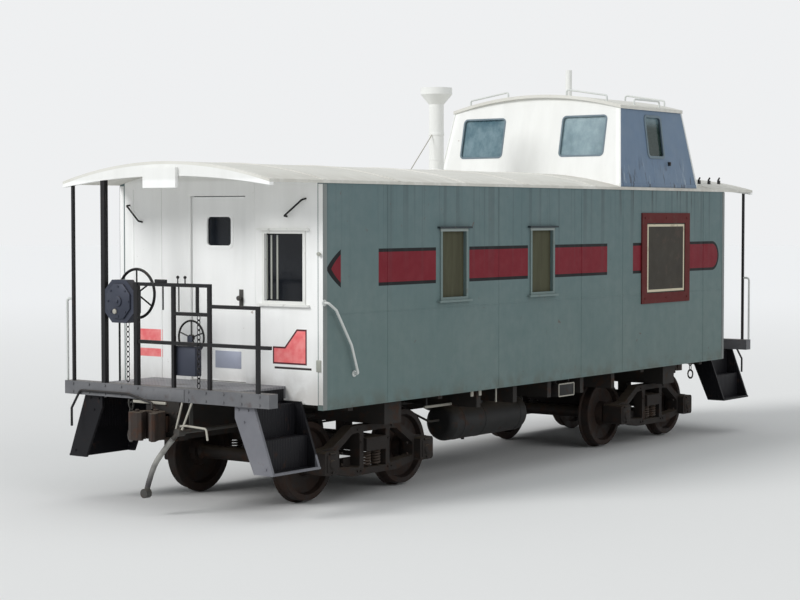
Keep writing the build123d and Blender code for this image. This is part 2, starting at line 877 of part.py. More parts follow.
def roof_rail(start, end):
    """A low grab rail on the cupola's roof between two places in plan."""
    points = [(*start, cupola_eave_z), (*start, cupola_eave_z + roof_rail_height + arch_lift(start[1])),
              (*end, cupola_eave_z + roof_rail_height + arch_lift(end[1])), (*end, cupola_eave_z)]
    return bent_rod(points, roof_rail_diameter, roof_rail_bend) - cupola_arch(0)


rail_x = cupola_top_length / 2 - roof_rail_end_inset
rail_y = cupola_top_width / 2 - roof_rail_side_inset
roof_rails = []
for side in (-1, 1):
    for end in (-1, 1):
        x = cupola_centre_x + end * rail_x
        roof_rails.append(roof_rail(*[(x, side * y) for y in roof_rail_end_span]))
    side_rail_x = around(cupola_centre_x, 2 * roof_rail_side_half)
    roof_rails.append(roof_rail(*[(x, side * rail_y) for x in side_rail_x]))

# Boards and boxes on the body


def sign_board():
    """The board on the -Y wall with its raised border."""
    x = around(body_end - sign_from_end, sign_size[0])
    z = around(deck_z + sign_height, sign_size[1])
    board_y = -body_side - sign_thickness
    border_y = (board_y - sign_border_height, board_y)
    field_z = (z[0] + sign_border, z[1] - sign_border)
    field = block((x[0] + sign_border, x[1] - sign_border), border_y, field_z)
    return block(x, (board_y, -body_side), z) + (block(x, border_y, z) - field)


light_box_z = roof_eave_z - light_box_drop
light_box = block((car_end, car_end + light_box_depth), centred(light_box_width / 2),
                  (light_box_z, light_box_z + light_box_height))
save("sign_boards", [sign_board(), mirrored(sign_board())])
save("end_light_boxes", both_ends(light_box))

# Platform fittings, drawn at the A end, where the B end's +Y lies at -Y

under_fascia = arch_region(roof_width, fascia_eave_z, fascia_crown_z, 0, centred(car_end))


def railing_post(post):
    """A square post up to its height, or up to the fascia where it has none."""
    top_z = deck_z + post["height"] if "height" in post else roof_crown_z
    bar = block(around(post_x, post["width"]), around(post["y"], post["width"]), (deck_z, top_z))
    return bar if "height" in post else bar & under_fascia


def railing_bars(stops, height):
    """The bars of one rail between the faces of the posts that it meets."""
    bars = []
    for left, right in zip(stops, stops[1:]):
        low_y = left["y"] + left["width"] / 2 + seat_clearance
        high_y = right["y"] - right["width"] / 2 - seat_clearance
        bars.append(block(around(post_x, rail_size), (low_y, high_y), around(deck_z + height, rail_size)))
    return bars


rail_stop = {"y": body_side - middle_rail_inset, "width": 0}
posts = [brake_post, corner_post, hinge_post, gate_post, latch_post, side_post]
railing = [railing_post(post) for post in posts]
railing += railing_bars([hinge_post, gate_post, latch_post], top_rail_height)
railing += railing_bars([gate_post, latch_post], gate_rail_height)
railing += railing_bars([latch_post, side_post], side_rail_height)
railing += railing_bars([hinge_post, gate_post, latch_post, side_post, rail_stop], middle_rail_height)
save("end_railings", both_ends(Compound(railing)))

housing_y = (brake_post["y"] + brake_post["width"] / 2, hinge_post["y"] - hinge_post["width"] / 2)
housing_x = (post_x + brake_housing_proud - brake_housing_depth, post_x + brake_housing_proud)
housing_z = (deck_z + brake_housing_height, deck_z + brake_housing_height + brake_housing_rise)
brake_wheel_z = deck_z + brake_wheel_height
brake_middle_y = (housing_y[0] + housing_y[1]) / 2
shaft_end_x = housing_x[0] - brake_shaft_length


def hand_brake():
    """The eight-sided gear housing between two posts, and the shaft that carries the wheel."""
    housing = block(housing_x, housing_y, housing_z)
    housing = chamfer(housing.edges().filter_by(Axis.X), brake_housing_corner)
    shaft_start = (housing_x[0], brake_middle_y, brake_wheel_z)
    shaft_end = (shaft_end_x, brake_middle_y, brake_wheel_z)
    return housing + rod(shaft_start, shaft_end, brake_shaft_diameter)


def brake_wheel():
    """A spoked wheel about X, which sits on the end of the hand brake's shaft."""
    rim_middle = (brake_wheel_diameter - brake_wheel_rim) / 2
    rim_section = Plane.XZ * Pos(rim_middle, 0) * Circle(brake_wheel_rim / 2)
    wheel_part = Cylinder(brake_wheel_hub / 2, brake_wheel_rim)
    for number in range(brake_wheel_spokes):
        spoke = rod((0, 0, 0), (rim_middle, 0, 0), brake_spoke_diameter)
        wheel_part += Rot(0, 0, number * 360 / brake_wheel_spokes) * spoke
    wheel_part += revolve(rim_section, axis=Axis.Z)
    middle_x = shaft_end_x - brake_wheel_rim / 2
    return Pos(middle_x, brake_middle_y, brake_wheel_z) * Rot(0, 90, 0) * wheel_part


save("hand_brakes", both_ends(hand_brake()))
save("brake_wheels", both_ends(brake_wheel()))

step_inner_y = deck_width / 2
tread_depth = (body_side - step_inner_y) / step_count
step_x = (body_end + step_start, body_end + step_start + step_width)


def steps():
    """The flight of the A end's +Y side: two sloping stringers, treads and risers."""
    bottom_z = deck_z - first_step_drop - (step_count - 1) * step_rise - step_tread
    outline = [(step_inner_y, end_sill_bottom_z), (step_inner_y, end_sill_bottom_z - step_stringer_drop),
               (body_side - step_stringer_width, bottom_z), (body_side, bottom_z),
               (step_inner_y + step_stringer_width, end_sill_bottom_z)]
    stringer = extrude(Plane.YZ * make_face(Polyline(*outline, close=True)), step_stringer)
    flight = Pos(step_x[0], 0, 0) * stringer + Pos(step_x[1] - step_stringer, 0, 0) * stringer
    riser_top = deck_bottom_z
    riser_end = deck_end
    for number in range(step_count):
        tread_z = deck_z - first_step_drop - number * step_rise
        y = step_inner_y + number * tread_depth
        flight += block(step_x, (y, y + tread_depth), (tread_z - step_tread, tread_z))
        flight += block((step_x[0], riser_end), (y, y + step_tread / 2), (tread_z - step_tread, riser_top))
        riser_top = tread_z
        riser_end = step_x[1]
    return flight


flight = steps()
save("steps", both_ends(flight) + both_ends(mirrored(flight)))


def corner_handrail():
    """The bent grab rail on the side wall by the A end's +Y steps."""
    out_y = body_side + handle_standoff
    bends = [(body_end - back, out_y, deck_z + height) for back, height in corner_handrail_bends]
    ends = [(x, body_side, z) for x, y, z in (bends[0], bends[-1])]
    return bent_rod([ends[0]] + bends + [ends[1]], handle_diameter, handle_bend)


def post_handle():
    """The upright grab rail beside the corner post of the A end's -Y side."""
    post_face_y = corner_post["y"] - corner_post["width"] / 2
    out_y = -body_side + handle_diameter / 2
    top_z = deck_z + post_handle_height
    points = [(post_x, post_face_y, top_z), (post_x, out_y, top_z), (post_x, out_y, deck_z)]
    return bent_rod(points, handle_diameter, post_handle_bend)


save("handrails", both_ends(corner_handrail()) + both_ends(post_handle()) + roof_rails)

# Couplers, levers and the brake pipe


def coupler():
    """Shank and head towards +X, with two lugs that hold the knuckle."""
    shank = block((car_end - shank_length, car_end + shank_reach), centred(shank_width / 2),
                  around(coupler_z, shank_height))
    head = extrude(rounded_outline(head_outline, casting_corner), coupler_head_height / 2, both=True)
    lug = Pos(*knuckle_lug_place) * Circle(knuckle_lug_radius)
    lug += Pos(*knuckle_lug_root) * Rectangle(*knuckle_lug_root_size)
    upper = extrude(Plane.XY.offset(coupler_head_height / 2 - knuckle_lug_height) * lug, knuckle_lug_height)
    return shank + Pos(car_end, 0, coupler_z) * (head + upper + mirror(upper, about=Plane.XY))


def knuckle():
    """The hook that fills the head's mouth between its lugs."""
    hook = extrude(rounded_outline(knuckle_outline, casting_corner), coupler_head_height / 2, both=True)
    return Pos(car_end, 0, coupler_z) * hook - coupler_shape


coupler_shape = coupler()
save("couplers", both_ends(coupler_shape))
save("knuckles", both_ends(knuckle()))


def uncoupling_lever():
    """A bent rod from the coupler's top to a handle at the -Y side, held on the end sill's face."""
    front_x = car_end + lever_diameter / 2
    pin_z = coupler_z + coupler_head_height / 2 + lever_diameter / 2
    bearing_z = end_sill_bottom_z + lever_bearing_rise
    low_z = [end_sill_bottom_z - drop for drop in lever_handle_drop]
    points = [(car_end + lever_pin[0], lever_pin[1], pin_z),
              (front_x + lever_reach, lever_elbow_y, pin_z + lever_lift)]
    points += [(front_x, y, bearing_z) for y in lever_bearing_y]
    points += [(car_end + lever_reach, lever_handle_y, z) for z in low_z]
    return bent_rod(points, lever_diameter, lever_bend)


save("uncoupling_levers", both_ends(uncoupling_lever()))

hose_fall = radians(hose_angle)
hose_turn = radians(hose_inward_turn)
hose_way = Vector(cos(hose_fall) * cos(hose_turn), -cos(hose_fall) * sin(hose_turn), -sin(hose_fall))
nipple_start = Vector(pipe_end + cock_length - nipple_overlap, pipe_y, pipe_z)
nipple_end = nipple_start + hose_way * (nipple_length + nipple_overlap)


def angle_cock():
    """The A end's cock on the brake pipe, its nipple and the hanger from the end sill."""
    handle_x = pipe_end + cock_handle_x
    low_x, high_x = (pipe_end - cock_overlap, pipe_end + cock_length)
    body = rod((low_x, pipe_y, pipe_z), (high_x, pipe_y, pipe_z), cock_diameter)
    body += rod(tuple(nipple_start), tuple(nipple_end), hose_diameter - 2 * nipple_wall)
    body += pillar(handle_x, pipe_y, (pipe_z, pipe_z + cock_handle_height), cock_handle_diameter)
    return body + block(around((deck_end + car_end) / 2, hanger_size[0]), around(pipe_y, hanger_size[1]),
                        (pipe_z, end_sill_bottom_z))


brake_pipe = bent_rod(pipe_points, pipe_diameter, pipe_bend)
for cock in both_ends(angle_cock()):
    brake_pipe += cock
save("brake_pipe", [brake_pipe])

# Hose route at the A end: out of the nipple, then down under its own weight
arc_share = 0.45
hose_points = [nipple_end, nipple_end + hose_way * hose_first_run]
hose_points += [nipple_end + Vector(out, across, -down) for out, across, down in hose_bends]


def bend_radii(points):
    """The largest arcs that the runs of a route allow."""
    radii = []
    for before, corner, after in zip(points, points[1:], points[2:]):
        turn = (corner - before).get_angle(after - corner)
        shorter = min((corner - before).length, (after - corner).length)
        radii.append(arc_share * shorter / tan(radians(turn / 2)))
    return radii


hose_radii = bend_radii(hose_points)
hose_path = FilletPolyline(*hose_points, radius=hose_radii)
hose_section = Plane(origin=hose_path @ 0, z_dir=hose_path % 0) * Circle(hose_diameter / 2)
hose = sweep(hose_section, path=hose_path)
print("hose radii", [round(radius) for radius in hose_radii], "length", round(hose_path.length),
      "volume over section times length", round(hose.volume / (hose_section.area * hose_path.length), 4))


def gladhand():
    """The hose's end fitting: a short collar and a flat hooked casting."""
    end = hose_path @ 1
    way = hose_path % 1
    palm_middle = end + way * gladhand_palm_place
    half_palm = Vector(gladhand_thickness / 2, 0, 0)
    fitting = rod(tuple(end), tuple(end + way * gladhand_collar), hose_diameter)
    fitting += rod(tuple(palm_middle - half_palm), tuple(palm_middle + half_palm), gladhand_palm_diameter)
    return fitting + rod(tuple(end), tuple(end + way * gladhand_length), gladhand_neck_diameter)


for part, shape in (("hose", hose), ("gladhand", gladhand())):
    save(f"{part}_a", [shape])
    save(f"{part}_b", [turned(shape)])

# Air reservoir and brake cylinder under the floor


tank_y = tank_inset - body_side


def air_reservoir():
    """A long tank with domed ends, held under two cross members by saddles."""
    tank_z = deep_bottom_z - tank_gap - tank_diameter / 2
    shell = rod((tank_span[0], tank_y, tank_z), (tank_span[1], tank_y, tank_z), tank_diameter)
    tank = fillet(shell.edges().filter_by(GeomType.CIRCLE), tank_dome)
    for x in (-deep_member_pitch, 0):
        tank += block(around(x, saddle_size[0]), around(tank_y, saddle_size[1]), (tank_z, deep_bottom_z))
    return tank


def brake_cylinder():
    """The cylinder, its mounting plate, push rod and lever."""
    middle_x, y = (cylinder_x, body_side - cylinder_inset)
    z = deep_bottom_z - tank_gap - cylinder_diameter / 2
    low, high = around(middle_x, cylinder_length)
    rod_end = high + push_rod_length
    body = rod((low, y, z), (high, y, z), cylinder_diameter)
    body += rod((low - cylinder_flange[0], y, z), (low, y, z), cylinder_diameter + cylinder_flange[1])
    body += rod((high, y, z), (rod_end, y, z), push_rod_diameter)
    lever_y = (y - brake_lever_reach[0], y + brake_lever_reach[1])
    body += block(around(rod_end, brake_lever_size[0]), lever_y, around(z, brake_lever_size[1]))
    return body + block(around(middle_x, saddle_size[0]), around(y, saddle_size[1]), (z, deep_bottom_z))


save("air_reservoir", [air_reservoir()])
save("brake_cylinder", [brake_cylinder()])
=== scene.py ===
import math

import bmesh
import bpy
from mathutils import Matrix, Vector


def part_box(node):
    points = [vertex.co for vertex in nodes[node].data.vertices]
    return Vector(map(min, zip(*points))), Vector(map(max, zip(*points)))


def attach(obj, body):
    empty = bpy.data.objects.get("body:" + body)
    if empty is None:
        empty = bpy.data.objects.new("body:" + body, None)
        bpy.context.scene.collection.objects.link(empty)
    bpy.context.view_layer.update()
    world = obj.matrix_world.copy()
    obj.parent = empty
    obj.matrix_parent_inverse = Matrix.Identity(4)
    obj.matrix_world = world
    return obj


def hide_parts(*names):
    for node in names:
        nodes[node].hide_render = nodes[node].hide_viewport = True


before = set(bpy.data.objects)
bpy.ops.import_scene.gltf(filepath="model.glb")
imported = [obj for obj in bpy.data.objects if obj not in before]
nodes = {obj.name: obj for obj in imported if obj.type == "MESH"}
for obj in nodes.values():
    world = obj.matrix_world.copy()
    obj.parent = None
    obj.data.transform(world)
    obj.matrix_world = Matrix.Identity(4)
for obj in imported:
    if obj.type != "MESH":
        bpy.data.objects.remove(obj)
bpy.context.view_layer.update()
scene = bpy.context.scene
carEnds = {"a": 1, "b": -1}  # the A end has the cupola, and the B end is the A end turned half round
carCorners = [(end, side) for end in (-1, 1) for side in (-1, 1)]
print("frame loaded:", len(nodes), "nodes")

# The photograph's viewpoint, turned to the car and zoomed so that it fills the frame
camera = {"eye": (-19.245, -13.422, 3.006), "target": (-1.17, 0, 2.02), "lens": 85.5, "reach": 500}
cameraData = bpy.data.cameras.new("camera")
cameraData.lens = camera["lens"]
cameraData.clip_end = camera["reach"]
cameraObject = bpy.data.objects.new("camera", cameraData)
scene.collection.objects.link(cameraObject)
cameraObject.location = camera["eye"]
gaze = Vector(camera["target"]) - Vector(camera["eye"])
cameraObject.rotation_mode = "QUATERNION"
cameraObject.rotation_quaternion = gaze.to_track_quat("-Z", "Y")
scene.camera = cameraObject
scene.view_settings.view_transform = "Standard"
print("camera set")


def paint(red, green, blue):
    # screen colour, 0 to 255, as the linear colour that a shader takes
    steps = [value / 255 for value in (red, green, blue)]
    return (*(step / 12.92 if step <= 0.04045 else ((step + 0.055) / 1.055) ** 2.4 for step in steps), 1)


class Reading:
    # one socket, so that sums with it add Math nodes
    def __init__(self, bench, socket):
        self.bench = bench
        self.socket = socket

    def maths(self, operation, *values):
        return self.bench.add("Math", {"operation": operation}, dict(enumerate(values)))

    def __add__(self, other):
        return self.maths("ADD", self, other)

    def __sub__(self, other):
        return self.maths("SUBTRACT", self, other)

    def __rsub__(self, other):
        return self.maths("SUBTRACT", other, self)

    def __mul__(self, other):
        return self.maths("MULTIPLY", self, other)

    def __truediv__(self, other):
        return self.maths("DIVIDE", self, other)

    def __rtruediv__(self, other):
        return self.maths("DIVIDE", other, self)

    def __pow__(self, other):
        return self.maths("POWER", self, other)

    def __rpow__(self, other):
        return self.maths("POWER", other, self)

    def __or__(self, other):
        return self.maths("MAXIMUM", self, other)

    def __abs__(self):
        return self.maths("ABSOLUTE", self)

    __radd__ = __add__
    __rmul__ = __mul__
    __ror__ = __or__

    def side(self):
        return self.maths("SIGN", self)

    def wave(self, pitch):
        # a sine that crosses zero at every pitch
        return self.maths("SINE", self * (math.pi / pitch))

    def above(self, level, soft=0.002):
        limits = {"Value": self, "From Min": level - soft, "From Max": level + soft}
        return self.bench.add("MapRange", {"interpolation_type": "SMOOTHSTEP"}, limits)

    def below(self, level, soft=0.002):
        return 1 - self.above(level, soft)

    def within(self, low, high, soft=0.002):
        return self.above(low, soft) * self.below(high, soft)


class NodeBench:
    # where the nodes of one material or sky are put together
    def __init__(self, tree):
        self.tree = tree

    def add(self, kind, settings=None, inputs=None, output=0):
        node = self.tree.nodes.new("ShaderNode" + kind)
        for setting, value in (settings or {}).items():
            setattr(node, setting, value)
        for name, value in (inputs or {}).items():
            if isinstance(value, Reading):
                self.tree.links.new(value.socket, node.inputs[name])
            else:
                node.inputs[name].default_value = value
        return Reading(self, node.outputs[output])


class Finish(NodeBench):
    def __init__(self, name, roughness=0.5, metallic=0.0, specular=0.5):
        self.material = bpy.data.materials.new(name)
        self.material.use_nodes = True
        super().__init__(self.material.node_tree)
        self.shader = self.tree.nodes["Principled BSDF"]
        self.shader.inputs["Roughness"].default_value = roughness
        self.shader.inputs["Metallic"].default_value = metallic
        self.shader.inputs["Specular IOR Level"].default_value = specular
        self.place = self.add("TexCoord", output="Object")
        self.x, self.y, self.z = [self.add("SeparateXYZ", inputs={0: self.place}, output=axis)
                                  for axis in range(3)]

    def noise(self, scale, detail=4.0, rough=0.55, stretch=(1, 1, 1), shift=(0, 0, 0)):
        moved = self.add("Mapping", inputs={"Vector": self.place, "Scale": stretch, "Location": shift})
        grain = {"Vector": moved, "Scale": scale, "Detail": detail, "Roughness": rough}
        return self.add("TexNoise", inputs=grain)

    def patches(self, scale, amount, soft=0.04, **stretching):
        return self.noise(scale, **stretching).above(1 - amount, soft)

    def mix(self, share, first, second):
        # a tone is a screen colour or what another mix gives
        tones = [paint(*tone) if isinstance(tone, tuple) else tone for tone in (first, second)]
        return self.add("Mix", {"data_type": "RGBA"}, {0: share, 6: tones[0], 7: tones[1]}, output=2)

    def base(self, share, first, second):
        self.tone = self.mix(share, first, second)

    def coat(self, share, tone):
        # lays a colour over what is there, where the share says
        self.tone = self.mix(share, self.tone, tone)

    def feed(self, name, value):
        self.tree.links.new(value.socket, self.shader.inputs[name])

    def surface(self, roughness, relief=None, distance=0.001, strength=0.5):
        # closes a finish with its colour, roughness and bump
        self.feed("Base Color", self.tone)
        self.feed("Roughness", roughness)
        if relief:
            heights = {"Height": relief, "Distance": distance, "Strength": strength}
            self.feed("Normal", self.add("Bump", inputs=heights))
        return self


print("finish tools ready")


def turned(points, turn):
    # turn is -1 at the B end
    return [(x * turn, y * turn, z) for x, y, z in points]


def facing(origin, outward, up=(0, 0, 1)):
    # a frame at origin whose Z is outward and whose Y leans towards up
    zAxis = Vector(outward).normalized()
    xAxis = Vector(up).cross(zAxis).normalized()
    turn = Matrix((xAxis, zAxis.cross(xAxis), zAxis)).transposed().to_4x4()
    return Matrix.Translation(origin) @ turn


def spread(count, wide, high, start=0.0):
    # even steps round the X axis, on a circle or an oval
    turns = [math.tau * (step + start) / count for step in range(count)]
    return [Vector((0, wide * math.cos(turn), high * math.sin(turn))) for turn in turns]


def fresh(bm, before):
    return [vert for vert in bm.verts if vert not in before]


def edgesOf(verts):
    return list({edge for vert in verts for edge in vert.link_edges})


def bevelSharp(bm, verts, width):
    # rounds the edges that turn by more than about 35 degrees
    edges = [edge for edge in edgesOf(verts) if len(edge.link_faces) == 2 and edge.calc_face_angle(0) > 0.6]
    bmesh.ops.bevel(bm, geom=edges, offset=width, segments=2, profile=0.5, affect="EDGES", material=-1)


def addBlock(bm, first, second, bevel):
    # a block between two opposite corners, in any order
    size = [abs(b - a) for a, b in zip(first, second)]
    middle = [(a + b) / 2 for a, b in zip(first, second)]
    shape = Matrix.Translation(middle) @ Matrix.Diagonal((*size, 1))
    made = bmesh.ops.create_cube(bm, size=1, matrix=shape)
    bevelSharp(bm, made["verts"], bevel)


def addRound(bm, start, end, radius, sides, bevel=0.0, second=None):
    start, end = Vector(start), Vector(end)
    place = facing((start + end) / 2, end - start, (0.3, 0.7, 0.2))  # no bar of the car lies along this
    made = bmesh.ops.create_cone(bm, cap_ends=True, segments=sides, radius1=radius,
                                 radius2=second or radius, depth=(end - start).length, matrix=place)
    if bevel:
        bevelSharp(bm, made["verts"], bevel)


def addDisc(bm, foot, out, low, high, *shape):
    # a round from low to high over its foot; shape is radius, sides, bevel and second radius
    addRound(bm, foot + out * low, foot + out * high, *shape)


def addBolts(bm, places, out, radius, height, sides=6):
    for spot in places:
        addDisc(bm, Vector(spot), Vector(out), -0.002, height, radius, sides)


def addRing(bm, place, width, height, corner, rim, depth):
    # a flat rounded frame of that outer size, standing proud by depth along the place's Z
    made = bmesh.ops.create_grid(bm, x_segments=1, y_segments=1, size=0.5,
                                 matrix=Matrix.Diagonal((width, height, 1, 1)))
    before = set(bm.verts) - set(made["verts"])
    bmesh.ops.bevel(bm, geom=made["verts"], offset=corner, segments=5, profile=0.5, affect="VERTICES",
                    material=-1)
    pane = [face for face in bm.faces if not before & set(face.verts)]
    band = bmesh.ops.inset_region(bm, faces=pane, thickness=rim, use_boundary=True, use_even_offset=True)
    bmesh.ops.delete(bm, geom=pane, context="FACES")
    raised = bmesh.ops.extrude_face_region(bm, geom=band["faces"], use_keep_orig=True)["geom"]
    verts = [part for part in raised if isinstance(part, bmesh.types.BMVert)]
    bmesh.ops.translate(bm, vec=(0, 0, depth), verts=verts)
    bmesh.ops.transform(bm, matrix=place, verts=fresh(bm, before))


def addHoop(bm, centre, across, wire, axis, sides, steps):
    # a closed ring of round wire
    ring = bmesh.ops.create_circle(bm, segments=sides, radius=wire,
                                   matrix=Matrix.Translation(Vector(centre) + Vector(across)))
    before = set(bm.verts) - set(ring["verts"])
    bmesh.ops.spin(bm, geom=ring["verts"] + edgesOf(ring["verts"]), cent=centre, axis=axis, angle=math.tau,
                   steps=steps, use_merge=True)
    return fresh(bm, before)


def placePiece(name, data, finish, body):
    data.materials.append(finish.material)
    piece = bpy.data.objects.new(name, data)
    scene.collection.objects.link(piece)
    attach(piece, body)
    return piece


def finishPiece(name, bm, finish, body="car_body"):
    bmesh.ops.remove_doubles(bm, verts=bm.verts, dist=1e-6)
    bmesh.ops.recalc_face_normals(bm, faces=bm.faces)
    data = bpy.data.meshes.new(name)
    bm.to_mesh(data)
    bm.free()
    data.shade_smooth()
    data.set_sharp_from_angle(angle=math.radians(35))
    return placePiece(name, data, finish, body)


def makeCurve(name, routes, radius, sides, steps):
    # round section along smooth splines, with the routes' own points as their control points
    curve = bpy.data.curves.new(name, "CURVE")
    curve.dimensions = "3D"
    curve.bevel_depth = 1
    curve.bevel_resolution = sides
    curve.use_fill_caps = True
    for route in routes:
        spline = curve.splines.new("NURBS")
        spline.points.add(len(route) - 1)
        for point, spot in zip(spline.points, route):
            point.co = (*spot, 1)
            point.radius = radius
        spline.order_u = 3
        spline.use_endpoint_u = True
        spline.resolution_u = steps
    return curve


def addRods(name, routes, radius, finish, bend=0.03):
    # stiff bars, straight between their points, with each bend as long as given
    bars = []
    for route in routes:
        points = [Vector(point) for point in route]
        bar = [points[0]]
        for before, corner, after in zip(points, points[1:], points[2:]):
            reach = min(bend, (before - corner).length / 2.2, (after - corner).length / 2.2)
            bar += [corner + (before - corner).normalized() * reach, corner,
                    corner + (after - corner).normalized() * reach]
        bars.append(bar + [points[-1]])
    placePiece(name, makeCurve(name, bars, radius, sides=3, steps=4), finish, "car_body")


# Air hoses, whose route repeats the part's own points
hose = {
    "diameter": 0.056, "length": 0.551, "sides": 10, "steps": 12,
    "route": [(5.36843, 0.2799, 0.77606), (5.42146, 0.18805, 0.64966),
              (5.47843, 0.0999, 0.48106), (5.50843, 0.0649, 0.29806)]}


def makeHoseRubber():
    finish = Finish("hoseRubber")
    age = finish.noise(14, detail=5, stretch=(1, 1, 0.5))
    painted = finish.z.above(0.44, 0.16) * finish.patches(9, 0.62, 0.2)
    finish.base(age, (30, 28, 32), (66, 62, 66))
    finish.coat(painted * 0.8, (156, 156, 150))
    return finish.surface(0.5 + age * 0.35, finish.noise(60), strength=0.4)


hoseRubber = makeHoseRubber()
for end, turn in carEnds.items():
    name = "airHose" + end.upper()
    route = turned(hose["route"], turn)
    curve = makeCurve(name, [route], hose["diameter"] / 2, hose["sides"], hose["steps"])
    piece = placePiece(name, curve, hoseRubber, "car_body")
    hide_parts("hose_" + end)
print("hoses hung")

# Floor and light
studio = {
    "floorRadius": 180, "floor": (0.8, 0.8, 0.79, 1), "farFloor": (0.93, 0.93, 0.93, 1),
    "fade": (26, 24), "sky": (0.86, 0.87, 0.88, 1), "fill": 0.44, "fillTint": (0.93, 0.97, 1.0, 1)}
suns = [("keyLight", (-0.86, 0.36, 0.58), 1.95, 24), ("frontLight", (-0.1, -1.0, 0.5), 0.5, 40),
        ("topLight", (0.1, -0.1, 1.0), 0.35, 60)]
floorMesh = bmesh.new()
bmesh.ops.create_circle(floorMesh, cap_ends=True, segments=96, radius=studio["floorRadius"])
floorData = bpy.data.meshes.new("studioFloor")
floorMesh.to_mesh(floorData)
floorMesh.free()
studioFloor = bpy.data.objects.new("studioFloor", floorData)
scene.collection.objects.link(studioFloor)
floorPaint = Finish("floorPaint", roughness=1.0, specular=0.0)
away = (floorPaint.x * floorPaint.x + floorPaint.y * floorPaint.y) ** 0.5
fading = {0: away.above(*studio["fade"]), 6: studio["floor"], 7: studio["farFloor"]}
floorPaint.feed("Base Color", floorPaint.add("Mix", {"data_type": "RGBA"}, fading, output=2))
floorData.materials.append(floorPaint.material)
for name, direction, strength, angle in suns:
    lamp = bpy.data.lights.new(name, "SUN")
    lamp.energy = strength
    lamp.angle = math.radians(angle)
    lampObject = bpy.data.objects.new(name, lamp)
    scene.collection.objects.link(lampObject)
    lampObject.rotation_mode = "QUATERNION"
    lampObject.rotation_quaternion = Vector(direction).to_track_quat("Z", "Y")
world = bpy.data.worlds.new("studioSky")
scene.world = world
world.use_nodes = True
sky = NodeBench(world.node_tree)
seen, glossy, through = [sky.add("LightPath", output=ray)
                         for ray in ("Is Camera Ray", "Is Glossy Ray", "Is Transmission Ray")]
fill = sky.add("Background", inputs={"Color": studio["fillTint"], "Strength": studio["fill"]})
backdrop = sky.add("Background", inputs={"Color": studio["sky"]})
skyMix = sky.add("MixShader", inputs={0: seen | glossy | through, 1: fill, 2: backdrop})
sky.tree.links.new(skyMix.socket, sky.tree.nodes["World Output"].inputs["Surface"])
print("floor and light set")

# The side's paint, with the stripe's runs, its pointed left end and its round right end
stripe = {
    "low": 2.285, "high": 2.675, "edge": 0.036, "face": 1.4215, "point": 0.66,
    "runs": [(-3.46, -2.43), (-1.79, -0.585), (0.01, 1.231), (1.87, 2.2)],
    "leftCap": (-4.095, 0.235), "rightCap": (3.2, 4.03, 0.196)}


def weather(finish, light, streak):
    # chalky patches and rain streaks
    chalk = finish.noise(1.1, detail=6) * finish.noise(7.0, detail=5, shift=(3, 1, 2))
    streaks = finish.noise(3.0, detail=5, rough=0.6, stretch=(5, 5, 0.35))
    finish.coat(chalk * light, (205, 208, 203))
    finish.coat(streaks.above(0.5, 0.2) * streak, (70, 72, 68))


def makeBodyPaint():
    finish = Finish("bodyPaint", metallic=0.08, specular=0.22)
    x, z = finish.x, finish.z
    half = (stripe["high"] - stripe["low"]) / 2
    rise = abs(z - (stripe["high"] + stripe["low"]) / 2)
    runs = sum(x.within(low, high) for low, high in stripe["runs"])
    capX, capReach = stripe["leftCap"]
    capRise = rise / half
    capPoint = (capX - x) / capReach + capRise * 0.6 + capRise * capRise * 0.4
    startX, roundX, roundReach = stripe["rightCap"]
    pastX = (x - roundX) | 0
    roundDisc = (pastX * pastX + rise * rise) ** 0.5

    def band(inset, point):
        # the stripe, narrower all round by the inset
        pointed = capPoint.below(point, 0.01) * x.below(capX)
        rounded = roundDisc.below(roundReach - inset) * x.above(startX)
        return (rise.below(half - inset) * runs) | pointed | rounded

    outside = abs(finish.y).above(stripe["face"], 0.0005)
    # painted shade with a painted green reflection: the silver side is given a darker green-grey than its
    # paint
    finish.base(finish.noise(0.5, detail=3), (86, 110, 111), (101, 118, 115))
    # painted sky reflection: bluer towards the top
    finish.coat(z.above(2.6, 1.4) * 0.6, (84, 108, 115))
    weather(finish, light=0.2, streak=0.05)
    finish.coat(band(0, 1) * outside, (13, 14, 17))
    red = finish.mix(finish.patches(9, 0.45, 0.2) * 0.22, (112, 18, 33), (134, 50, 58))
    finish.coat(band(stripe["edge"], stripe["point"]) * outside, red)
    drips = finish.patches(1.3, 0.42, 0.06, stretch=(9, 9, 0.12), shift=(4, 0, 1))
    finish.coat(z.above(2.7, 0.8) * drips * 0.32, (64, 70, 72))
    underCupola = z.above(3.12, 0.22) * x.within(1.2, 3.9, 0.2)
    clouds = finish.patches(1.1, 0.52, 0.12, shift=(7, 2, 1))
    trails = finish.patches(1.6, 0.4, 0.05, stretch=(14, 14, 0.16), shift=(1, 0, 5), detail=6)
    finish.coat(underCupola * clouds * trails * 0.85, (50, 44, 42))
    finish.coat(z.below(1.16, 0.1) * finish.patches(5, 0.5, 0.12) * 0.35, (88, 80, 66))
    rustSpots = finish.patches(13, 0.29, 0.02, detail=3) * finish.patches(1.7, 0.45, 0.1)
    finish.coat(rustSpots * 0.5, (96, 54, 34))
    dents = finish.noise(1.3, detail=2) + finish.noise(60, detail=3) * 0.03
    return finish.surface(0.48 + finish.noise(5, detail=5) * 0.22, dents, distance=0.006, strength=0.35)


# The cupola, whose sides' sloping end edges are pale
cupola = {
    "x": 2.594, "baseZ": 3.41, "topZ": 4.428, "baseLength": 2.032, "topLength": 1.592,
    "baseWidth": 2.8, "topWidth": 2.53, "windowZ": 4.04, "endWindow": (0.66, 0.52), "endY": 0.77,
    "sideWindow": (0.42, 0.54), "paleEdge": 0.013}
cupolaClimb = cupola["topZ"] - cupola["baseZ"]
cupolaEndLean = (cupola["baseLength"] - cupola["topLength"]) / 2
cupolaSideLean = (cupola["baseWidth"] - cupola["topWidth"]) / 2


